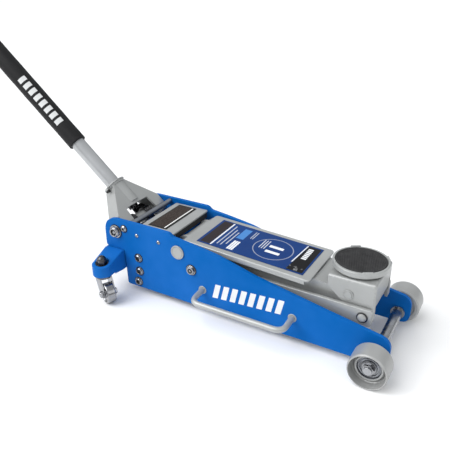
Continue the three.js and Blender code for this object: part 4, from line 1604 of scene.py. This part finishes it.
@dataclass
class FrontWheels(Assembly):
    """Front axle, its two cast wheels and their nuts."""

    radius: float = 36.8
    width: float = 43
    bore: float = 8.3
    axle_radius: float = 10.5
    stub_radius: float = 8

    def build(self) -> None:
        """Makes the axle, both wheels and both nuts."""
        at = place("front_axle")
        low, high = extent("front_axle")
        inner_face = extent("front_wheel_left")[0].y
        axle = rod(self.axle_radius, -inner_face + 0.3, inner_face - 0.3, 0.8, 64)
        axle.plus(rod(self.stub_radius, low.y, high.y, 1.2)).moved(outwards(Side.LEFT, at))
        for side in Side:
            for start, thick in ((self.plate_inside() - 4.5, 4.3), (83, inner_face - 83.6)):
                collar = washer(self.axle_radius - 0.4, self.axle_radius + 3.6, start, start + thick)
                axle.plus(collar.moved(outwards(side, at)))
        self.stand("front_axle", axle, self.finishes.axle_steel, Slot.ZINC)
        for side in Side:
            self.wheel(side, inner_face)
            self.nut(side, inner_face)

    @staticmethod
    def plate_inside() -> float:
        """Distance of a side plate's inner face from the middle plane."""
        return extent("side_plate_left")[0].y

    def wheel(self, side: Side, inner_face: float) -> None:
        """Turns one wheel, with its deep dish outside, a shallow one inside, and its bearing."""
        node = f"front_wheel_{side.label}"
        width = self.width
        bore = self.bore
        profile = [
            (bore, 0), (15, 0, 0.6), (16, 3, 0.8), (26, 3, 0.8), (27.5, 0, 0.8), (33.5, 0, 1.2),
            (self.radius, 2.4, 1.8), (self.radius, width - 3, 2), (self.radius - 1.6, width, 1.4),
            (33.6, width, 0.8), (33, 37, 1), (31.8, 27, 2.5), (28.2, 22.5, 1.5), (26.2, 22.5, 0.8),
            (26, 28.8, 0.6), (24.4, 28.8, 0.4), (22.9, 28.2, 0.3), (22.2, 24, 1), (19.4, 24, 0.4),
            (19.0, 25.4, 0.4), (17.6, 25.4, 0.4), (17.2, 24, 0.4), (14.6, 24, 0.6), (13.6, 27.2, 0.7),
            (bore, 27.2)
        ]
        wheel = Shape.turned(profile, 96, base=inner_face).moved(outwards(side, place(node)))
        self.stand(node, wheel, self.finishes.wheel, Slot.WHEEL, crease=40)
        face = inner_face + 24
        ring = [
            (24.2, face - 2, 0.3), (24.2, face + 3.4, 0.6), (22.4, face + 4.6, 0.6), (20.8, face + 1.2, 0.5)
        ]
        ring += [
            (19.4, face + 1.2, 0.4), (18.9, face + 3, 0.4), (17.3, face + 3, 0.4), (16.8, face + 0.6, 0.4)
        ]
        ring += [(14.6, face + 0.6, 0.4), (14.2, face + 3.4, 0.5), (13, face + 3.6, 0.5), (13, face - 2)]
        core = Shape.turned(ring, 96).moved(outwards(side, place(node)))
        name = f"wheel_bearing_{side.label}"
        self.ride(name, core, self.finishes.machined, Slot.ZINC, body=f"front_wheel_{side.label}", crease=40)

    def nut(self, side: Side, inner_face: float) -> None:
        """Flanged nut on the axle's end."""
        node = f"hub_nut_{side.label}"
        base = inner_face + 27.5
        nut = washer(8.2, 12.8, base, base + 1.6)
        nut.plus(hexagon(11.6, base + 1.5, base + 8.6))
        nut.moved(outwards(side, place(node)) @ Matrix.Rotation(math.radians(12), 4, "Z"))
        self.stand(node, nut, self.finishes.zinc, Slot.ZINC)


@dataclass
class LiftingArm(Assembly):
    """Lifting arm, its cover and the levelling links."""

    cover_half: float = 69.5
    cover_thick: float = 4
    lip: float = 7
    rear: tuple = (-423, 157)
    front: tuple = (-141, 142)
    link_in: float = 57.3
    link_thick: float = 7.5
    link_half: float = 17

    def build(self) -> None:
        """Makes the arm, the cover and both links."""
        arm = Shape.of_node("lift_arm").eased(0.9, 2, 35)
        self.stand("lift_arm", arm, self.finishes.grey, Slot.GREY)
        self.cover()
        self.bench.dress("arm_label", self.finishes.arm_label)
        for side in Side:
            self.link(side)

    def slope(self) -> Matrix:
        """Matrix that lays a flat shape, its rear top edge at the origin, on the cover's slope."""
        run = self.front[0] - self.rear[0]
        fall = self.rear[1] - self.front[1]
        turn = Matrix.Rotation(math.atan2(fall, run), 4, "Y")
        return Matrix.Translation((self.rear[0], 0, self.rear[1])) @ turn

    def cover(self) -> None:
        """Presses the arm's cover, with soft top edges and turned-down sides."""
        length = self.front[0] - self.rear[0]
        half = self.cover_half
        outline = rounded([(0, -half, 9), (length, -half, 9), (length, half, 9), (0, half, 9)], 10)
        depth = self.cover_thick + self.lip
        blank = Shape.plate(outline, -depth, 0, Plane.XY)
        ends = Shape.block((-5, -half - 5, -depth - 1), (10, half + 5, -self.cover_thick))
        nose = Shape.block((length - 10, -half - 5, -depth - 1), (length + 5, half + 5, -self.cover_thick))
        inside = Shape.block((-6, 3 - half, -depth - 1), (length + 6, half - 3, -self.cover_thick))
        cover = blank.cut_by(ends).cut_by(nose).cut_by(inside)
        cover.eased(1.9, 4, 50, lambda at: at.z > -0.1)
        cover.eased(0.5, 2, 50, lambda at: at.z < -2.2)
        self.stand("arm_cover", cover.moved(self.slope()), self.finishes.grey, Slot.GREY)

    def link(self, side: Side) -> None:
        """Cuts one levelling link and rounds its edges."""
        node = f"levelling_link_{side.label}"
        pivot = place(f"link_pivot_bolt_{side.label}")
        pin = place(f"link_front_bolt_{side.label}")
        half = self.link_half
        outline = rounded(
            [
                (pivot.x - half, pivot.z - half, 14), (pin.x + half, pin.z - half, 5),
                (pin.x + half, pin.z + half, 5), (pivot.x - half, pivot.z + half, 14)
            ],
            10
        )
        faces = sorted(side.value * face for face in (self.link_in, self.link_in + self.link_thick))
        bar = Shape.plate(outline, *faces).eased(1.4, 3)
        self.stand(node, bar, self.finishes.grey, Slot.GREY)


@dataclass
class Saddle(Assembly):
    """Saddle bracket, cup and pad."""

    half_width: float = 55
    wall: float = 5
    top: float = 160
    rear: float = -111
    front: float = -20
    bend: float = 5
    cup_radius: float = 54
    pad_radius: float = 48.2
    pad_floor: float = 167.5
    pad_top: float = 176.3
    knob_pitch: float = 3.1
    stem_foot: float = 150
    stem_radius: float = 10
    tab_low: float = 170.3
    tab_high: float = 178.3

    def build(self) -> None:
        """Makes the bracket, the cup and the pad with its texture."""
        self.bracket()
        self.cup()
        self.pad()

    def bracket(self) -> None:
        """Folds the bracket from thick sheet, open below and behind."""
        pin = place("link_front_bolt_right")
        foot = pin.z - 12
        outline = [
            Vector((self.rear, self.top)), Vector((self.rear, 138)), Vector((-86, 115)),
            Vector((pin.x - 13, foot)), Vector((self.front, foot)), Vector((self.front, self.top))
        ]
        half = self.half_width
        blank = Shape.plate(outline, -half, half)
        front, top = self.front, self.top
        blank.eased(
            self.bend, 4, 30,
            lambda at: (at.z > top - 0.1 and at.x > self.rear + 0.1) or (
                at.x > front - 0.1 and abs(at.y) > half - 0.1
            )
        )
        inner = half - self.wall
        hollow = Shape.block((self.rear - 5, -inner, foot - 5), (front - self.wall, inner, top - self.wall))
        gate = Shape.block((front - self.wall - 1, -inner + 6, foot - 5), (front + 5, inner - 6, 112))
        slot = Shape.block((front - self.wall - 1, inner - 9, 100), (front + 5, inner - 3, 128))
        body = blank.cut_by(hollow).cut_by(gate).cut_by(slot)
        body.eased(0.7, 2, 50, lambda at: at.z < top - 6)
        self.stand("saddle_bracket", body, self.finishes.grey, Slot.GREY)

    def cup(self) -> None:
        """Turns the cup that holds the pad, with its four raised tabs."""
        at = place("saddle_cup")
        base = self.top + 1.3
        lip = self.pad_radius + 1
        radius = self.cup_radius
        cup = Shape.turned(
            [
                (0, self.stem_foot), (self.stem_radius, self.stem_foot, 0.8), (self.stem_radius, base),
                (radius - 5, base, 0.8), (radius - 4.2, base + 2.6, 0.8), (radius, base + 4, 1.6),
                (radius, self.pad_top - 1.2, 1.6), (radius - 2.2, self.pad_top - 0.2, 0.8),
                (lip, self.pad_top - 0.2, 0.6), (lip, self.pad_floor), (0, self.pad_floor)
            ],
            96
        )
        for degrees in (30, 120, 210, 300):
            tab = Shape.block((radius - 4.1, -10, self.tab_low), (radius - 0.7, 10, self.tab_high))
            tab.eased(1.2, 3)
            cup.plus(tab.moved(Matrix.Rotation(math.radians(degrees), 4, "Z")))
        cup.moved(Matrix.Translation((at.x, 0, 0)))
        self.stand("saddle_cup", cup, self.finishes.grey, Slot.GREY)

    def pad(self) -> None:
        """Moulds the rubber pad, its face covered with small knobs inside a plain rim."""
        at = place("saddle_pad")
        radius = self.pad_radius
        face = self.pad_top - 0.9
        profile = [
            (0, self.pad_floor + 0.3), (radius, self.pad_floor + 0.3, 0.5), (radius, self.pad_top, 1.2),
            (radius - 3, self.pad_top, 0.6), (radius - 3.6, face, 0.4), (0, face)
        ]
        pad = Shape.turned(profile, 96)
        knob = Shape.plate(circle(0, 0, self.knob_pitch * 0.6, 4), face - 0.3, face + 0.1, Plane.XY)
        for vertex in knob.bm.verts:
            if vertex.co.z > face:
                vertex.co.x *= 0.45
                vertex.co.y *= 0.45
                vertex.co.z = self.pad_top - 0.05
        across = 2 * radius
        knobs = Repeat(Layout.DISC).copies(
            knob, self.finishes.pad, Count=int(across / self.knob_pitch) + 1, Across=across,
            Radius=radius - 5
        )
        pad.plus(knobs).moved(Matrix.Translation((at.x, 0, 0)) @ Matrix.Rotation(math.radians(20), 4, "Z"))
        self.stand("saddle_pad", pad, self.finishes.pad, Slot.RUBBER)


@dataclass
class PumpUnit(Assembly):
    """Pump block, tank, ram, plunger and release valve, low between the plates."""

    ease: float = 1.2

    def build(self) -> None:
        """Makes every piece of the pump."""
        plans = (
            ("pump_block", self.finishes.iron, Slot.IRON, self.ease),
            ("reservoir_tank", self.finishes.iron, Slot.IRON, self.ease),
            ("filler_plug", self.finishes.grip, Slot.RUBBER, 0.6),
            ("ram", self.finishes.chrome, Slot.CHROME, 0.6),
            ("pump_plunger", self.finishes.chrome, Slot.CHROME, 0.5),
            ("release_valve_stem", self.finishes.zinc, Slot.ZINC, 0.4)
        )
        for node, finish, slot, ease in plans:
            shape = Shape.of_node(node).eased(ease, 2, 40)
            self.stand(node, shape, finish, slot, crease=40)


@dataclass
class Casters(Assembly):
    """Rear casters: bracket, fork, wheel, axle and nut on each side."""

    trail: float = 20
    wheel_radius: float = 23
    yaw: float = 27
    boss_top: float = 86
    boss_clear: float = 20
    axle_half: float = 19
    wheel_half: float = 9.5

    def build(self) -> None:
        """Makes both casters."""
        for side in Side:
            self.bracket(side)
            self.fork(side)
            self.wheel(side)
            self.nut(side)

    def swivel(self, side: Side) -> Matrix:
        """Matrix from a caster's own axis, its wheel trailing along X, to its place."""
        at = place(f"caster_nut_{side.label}")
        turn = Matrix.Rotation(side.value * math.radians(self.yaw), 4, "Z")
        return Matrix.Translation((at.x, at.y, 0)) @ turn

    def bracket(self, side: Side) -> None:
        """Rounds the edges of the bracket, widely on its arm."""
        node = f"caster_bracket_{side.label}"
        at = place(f"caster_nut_{side.label}")

        def on_arm(point: Vector) -> bool:
            """Whether a point lies on the arm's outer edges, away from its bore."""
            return abs(point.y) > PLATE_FACE and math.hypot(point.x - at.x, point.y - at.y) > self.boss_clear

        body = Shape.of_node(node).eased(3.2, 5, 38, on_arm)
        body.eased(0.7, 2, 60, lambda point: not on_arm(point))
        self.stand(node, body, self.finishes.blue, Slot.BLUE, crease=40)

    def fork(self, side: Side) -> None:
        """Presses the fork, with its bearing ring, and fits the axle."""
        node = f"caster_fork_{side.label}"
        fork = Shape.of_node(node).eased(0.6, 2, 35)
        ring = Shape.turned([(8, 55), (17.4, 55, 0.8), (18.6, 57.4, 1), (17, 61.5, 1.2), (8, 61.5)], 64)
        fork.plus(ring.moved(self.swivel(side)))
        self.stand(node, fork, self.finishes.zinc, Slot.ZINC, crease=40)
        axle = rod(4, -self.axle_half, self.axle_half, 0.6)
        for way in (1, -1):
            turn = Matrix.Rotation(0 if way > 0 else math.pi, 4, "X")
            axle.plus(hexagon(7.3, 14.9, self.axle_half).moved(turn), washer(4.2, 8, 14.1, 15).moved(turn))
        spot = Matrix.Translation((self.trail, 0, self.wheel_radius)) @ Matrix.Rotation(math.pi / 2, 4, "X")
        axle.moved(self.swivel(side) @ spot)
        node = f"caster_axle_{side.label}"
        self.stand(node, axle, self.finishes.zinc, Slot.ZINC)

    def wheel(self, side: Side) -> None:
        """Turns the steel caster wheel, dished on both faces."""
        half = self.wheel_half
        r = self.wheel_radius
        one_face = [
            (4.3, half), (9, half, 0.5), (9.6, half - 2.2, 0.6), (17.4, half - 2.2, 0.8), (18.6, half, 0.8),
            (r - 1, half, 0.9), (r, half - 1.6, 0.9)
        ]
        other_face = [(point[0], -point[1], *point[2:]) for point in reversed(one_face)]
        wheel = Shape.turned([*one_face, *other_face], 72)
        spot = Matrix.Translation((self.trail, 0, r)) @ Matrix.Rotation(math.pi / 2, 4, "X")
        node = f"caster_wheel_{side.label}"
        self.stand(node, wheel.moved(self.swivel(side) @ spot), self.finishes.zinc, Slot.ZINC)

    def nut(self, side: Side) -> None:
        """Domed nut on the swivel stem, over a washer."""
        node = f"caster_nut_{side.label}"
        base = self.boss_top + 0.2
        nut = washer(8.2, 14, base, base + 1.8)
        nut.plus(hexagon(12, base + 1.7, base + 10))
        nut.plus(Shape.turned([(0, 8), (9.6, 8), (9.5, 14, 4), (4.5, 18.8, 5), (0, 18.8)], 48, base=base))
        self.stand(node, nut.moved(self.swivel(side)), self.finishes.dark, Slot.DARK)


@dataclass
class Handle(Assembly):
    """Handle: pyramid socket, pump roller, two tubes, foam sleeve and end grip."""

    angle: float = 40.3
    lift: float = 10
    tube: float = 16.5
    wall: float = 2
    sleeve: tuple = (224, 545)
    joint: float = 560
    end: float = 1062
    collar_at: float = 92
    grip_length: float = 130
    spring_radius: float = 14.6
    spring_wire: float = 1.9
    spring_pitch: float = 4.3
    spring_turns: float = 4.5
    spring_from: float = 17.5
    ear_at: float = 28.8
    grip_ribs: int = 18

    def frame_matrix(self) -> Matrix:
        """Matrix from the handle's own axes, the handle running along -X, to its place."""
        at = place("handle_pivot_bolt_right")
        return Matrix.Translation((at.x, 0, at.z)) @ Matrix.Rotation(math.radians(self.angle), 4, "Y")

    def along(self) -> Matrix:
        """Matrix that stands a turned shape on the handle's line, its height counted from the pivot."""
        lay = Matrix.Rotation(-math.pi / 2, 4, "Y")
        return self.frame_matrix() @ Matrix.Translation((0, 0, self.lift)) @ lay

    def build(self) -> None:
        """Makes every piece of the handle."""
        self.socket()
        self.tubes()
        self.foam_sleeve()
        self.grip()

    def socket(self) -> None:
        """Rounds the welded socket, turns its collar, sets dark blocks at the collar's two ends as painted
        shade, and fits the roller.
        """
        body = Shape.of_node("handle_socket").eased(0.9, 2, 35)
        at = self.collar_at
        ring = [
            (17.2, at - 4), (24, at - 4, 1.2), (24, at, 0.6), (27.2, at + 0.4, 1), (27.2, at + 3, 1),
            (17.2, at + 3)
        ]
        body.plus(Shape.turned(ring, 72).moved(self.along()))
        self.stand("handle_socket", body, self.finishes.grey, Slot.GREY, crease=40)
        # Dark blocks at the collar's two ends paint the shade where the ring curves away.
        shade_blocks = Shape()
        for middle_y in (self.ear_at, -self.ear_at):
            low = (-at + 3.2, middle_y - 3.7, self.lift - 4.8)
            high = (-at + 8.6, middle_y + 3.7, self.lift + 4.8)
            shade_blocks.plus(Shape.block(low, high).eased(1.6, 3))
        self.ride(
            "socket_ear_tips", shade_blocks.moved(self.frame_matrix()), self.finishes.tip, Slot.RUBBER,
            body="handle_socket"
        )
        self.window_hardware()
        roller_at = place("pump_roller")
        low, high = extent("pump_roller")
        roller = washer(3.8, (high.z - low.z) / 2, low.y, high.y).moved(outwards(Side.LEFT, roller_at))
        self.stand("pump_roller", roller, self.finishes.zinc, Slot.ZINC)

    def window_hardware(self) -> None:
        """Winds the two return springs on the socket's hub, lays a dark plate under each side of the window
        as painted shade, and cuts the claw on the handle's end.
        """
        steps = 20
        for side in Side:
            path = []
            for step in range(int(self.spring_turns * steps) + 1):
                angle = 2 * math.pi * step / steps
                y = side.value * (self.spring_from + self.spring_pitch * step / steps)
                x, z = (self.spring_radius * way for way in (math.cos(angle), math.sin(angle)))
                path.append(Vector((x, y, z)))
            spring = Sweep().along(path, self.spring_wire, self.finishes.dark, 10)
            name = f"return_spring_{side.label}"
            self.ride(
                name, spring.moved(self.frame_matrix()), self.finishes.dark, Slot.DARK,
                body="handle_socket", crease=60
            )
            # A dark plate under the window paints the shade inside the socket, so the floor does not show
            # through.
            near, far = sorted((side.value * 15.5, side.value * 60))
            seat = Shape.block((-32, near, -16), (14, far, -13.4)).eased(0.8, 2)
            name = f"spring_seat_{side.label}"
            self.ride(
                name, seat.moved(self.frame_matrix()), self.finishes.dark, Slot.DARK, body="handle_socket"
            )
        claw = Shape.turned([(5, 24), (11.5, 24, 0.8), (11.5, 37.8, 0.8), (5, 37.8)], 48)
        claw = claw.cut_by(Shape.block((-20, -3.5, 20), (20, 3.5, 31)))
        claw.eased(0.4, 2, 50)
        self.ride(
            "handle_claw", claw.moved(self.along()), self.finishes.dark, Slot.DARK, body="handle", crease=40
        )

    def tubes(self) -> None:
        """Draws both tubes, one sliding inside the other's end."""
        bore = self.tube - self.wall
        spigot = bore - 0.3
        lower = Shape.turned(
            [(bore, 38), (self.tube, 38, 0.6), (self.tube, self.joint, 0.8), (bore, self.joint, 0.4)], 64
        )
        self.stand("handle_lower_tube", lower.moved(self.along()), self.finishes.tube, Slot.TUBE)
        start = self.joint + 0.3
        upper = Shape.turned(
            [
                (spigot - 3, start - 60), (spigot, start - 60, 0.6), (spigot, start),
                (self.tube, start, 0.8), (self.tube, self.end - 4, 0.6), (spigot - 3, self.end - 4)
            ],
            64
        )
        upper.moved(self.along())
        self.stand("handle_upper_tube", upper, self.finishes.tube, Slot.TUBE)

    def foam_sleeve(self) -> None:
        """Moulds the foam sleeve, slightly crowned between its rounded ends."""
        start, end = self.sleeve
        inner = self.tube + 0.3
        outer = 21.5
        rows = 40
        outside = [(outer, start, 3.2)]
        for step in range(1, rows):
            t = step / rows
            swell = 0.25 * math.sin(math.pi * t) + 0.12 * math.sin(9 * math.pi * t)
            outside.append((outer - 0.35 + swell, start + (end - start) * t))
        outside.append((outer, end, 3.2))
        sleeve = Shape.turned([(inner, start, 0.8), *outside, (inner, end, 0.8)], 72, 6)
        layer = sleeve.bm.loops.layers.uv.new(STRAND)
        for face in sleeve.bm.faces:
            turns = [math.atan2(loop.vert.co.y, loop.vert.co.x) / (2 * math.pi) + 0.5 for loop in face.loops]
            if max(turns) - min(turns) > 0.5:
                turns = [turn + 1 if turn < 0.5 else turn for turn in turns]
            for loop, turn in zip(face.loops, turns):
                loop[layer].uv = ((loop.vert.co.z - start) / (end - start), turn)
        sleeve.moved(self.along())
        piece = self.stand("foam_sleeve", sleeve, self.finishes.foam, Slot.FOAM, crease=60)

    def grip(self) -> None:
        """Moulds the end grip, with ribs round it."""
        start = self.end - self.grip_length
        inner = self.tube + 0.3
        body = Shape.turned(
            [
                (inner, start), (19.6, start, 1.6), (19.6, start + 5, 0.8), (18.6, start + 6, 0.6),
                (18.6, self.end - 10, 1), (20, self.end - 8, 1), (19.5, self.end, 3), (0, self.end),
                (0, self.end - 3.7), (inner, self.end - 3.7)
            ],
            72
        )
        rib = Shape.turned([(18, -1.9), (19.2, -1.9, 0.8), (19.9, 0, 1), (19.2, 1.9, 0.8), (18, 1.9)], 48, 3)
        count = self.grip_ribs
        pitch = (self.grip_length - 26) / (count - 1)
        ribs = Repeat(Layout.LINE).copies(
            rib, self.finishes.grip, Count=count, Start=(0, 0, start + 11), Step=(0, 0, pitch)
        )
        body.plus(ribs)
        self.stand("handle_grip", body.moved(self.along()), self.finishes.grip, Slot.RUBBER)


# ---------- studio ----------
@dataclass(frozen=True)
class Softbox:
    """A square area light aimed at the middle of the jack."""

    name: str
    at: Corner
    size: float
    power: float

    def build(self, aim: Vector) -> None:
        """Hangs the light and aims it.

        Args:
            aim: the point it faces.
        """
        lamp = bpy.data.lights.new(self.name, "AREA")
        lamp.shape = "SQUARE"
        lamp.size = self.size
        lamp.energy = self.power
        thing = linked(self.name, lamp)
        thing.location = self.at
        thing.rotation_euler = (aim - Vector(self.at)).to_track_quat("-Z", "Y").to_euler()


@dataclass
class Studio:
    """Pale floor, soft lights and the camera."""

    camera_at: tuple = (0.85175, -0.9264, 0.6987)
    camera_aim: tuple = (0.31105, 0.0215, 0.1642)
    lens: float = 45.14
    floor_size: float = 30
    sky: float = 0.72
    wall: float = 0.3
    sun_power: float = 2.2
    sun_from: tuple = (-0.8, -0.75, 1.15)
    sun_spread: float = 60
    light_aim: tuple = (0.2, 0, 0.15)
    wall_top: float = 0.15
    sky_from: float = 0.5
    softboxes: tuple = (
        Softbox("key", (-1.3, -1.7, 2.0), 0.9, 14), Softbox("fill", (2.2, -0.6, 1.2), 1.2, 4)
    )

    def build(self) -> None:
        """Sets up the whole studio."""
        self.floor()
        self.world()
        self.sun()
        for softbox in self.softboxes:
            softbox.build(Vector(self.light_aim))
        camera = bpy.data.cameras.new("camera")
        camera.lens = self.lens
        camera.sensor_width = 36
        camera.dof.use_dof = False
        thing = linked("camera", camera)
        thing.location = self.camera_at
        direction = Vector(self.camera_aim) - Vector(self.camera_at)
        thing.rotation_euler = direction.to_track_quat("-Z", "Y").to_euler()
        bpy.context.scene.camera = thing
        bpy.context.scene.view_settings.view_transform = "Standard"

    def floor(self) -> None:
        """Lays the pale floor."""
        mesh = bpy.data.meshes.new("floor")
        half = self.floor_size / 2
        corners = [(-half, -half, 0), (half, -half, 0), (half, half, 0), (-half, half, 0)]
        mesh.from_pydata(corners, [], [(0, 1, 2, 3)])
        tree = Tree("floor paint")
        shade = tree.noise(3, 2)
        tree.finished(
            {"Specular IOR Level": 0.2},
            Base_Color=tree.mixed(shade, (0.95, 0.95, 0.95), (0.97, 0.97, 0.97)),
            Roughness=shade.ramped(0, 1, 0.6, 0.7)
        )
        mesh.materials.append(tree.material)
        thing = linked("floor", mesh)

    def sun(self) -> None:
        """Adds a very soft light that reaches the whole floor evenly."""
        lamp = bpy.data.lights.new("sun", "SUN")
        lamp.energy = self.sun_power
        lamp.angle = math.radians(self.sun_spread)
        turn = (-Vector(self.sun_from)).to_track_quat("-Z", "Y")
        linked("sun", lamp).rotation_euler = turn.to_euler()

    def world(self) -> None:
        """Lights the room softly from above, with dim walls."""
        world = bpy.data.worlds.new("studio")
        world.use_nodes = True
        nodes = world.node_tree.nodes
        link = world.node_tree.links.new
        place_node = nodes.new("ShaderNodeTexCoord")
        split = nodes.new("ShaderNodeSeparateXYZ")
        height = nodes.new("ShaderNodeMapRange")
        limits = {
            "From Min": self.wall_top, "From Max": self.sky_from, "To Min": self.wall, "To Max": self.sky
        }
        for key, value in limits.items():
            height.inputs[key].default_value = value
        background = nodes["Background"]
        background.inputs["Color"].default_value = (0.96, 0.98, 1, 1)
        link(place_node.outputs["Generated"], split.inputs[0])
        link(split.outputs["Z"], height.inputs["Value"])
        link(height.outputs[0], background.inputs["Strength"])
        bpy.context.scene.world = world


def main() -> None:
    """Builds the jack's sub-assemblies in order, then the studio."""
    logging.basicConfig(level=logging.INFO, format="%(name)s: %(message)s")
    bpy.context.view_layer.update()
    bench = Bench()
    finishes = Finishes()
    for kind in (Chassis, Fasteners, FrontWheels, LiftingArm, Saddle, PumpUnit, Casters, Handle):
        LOG.info("-- %s", kind.__name__)
        kind(bench, finishes).build()
    Studio().build()


if __name__ == "__main__":
    main()
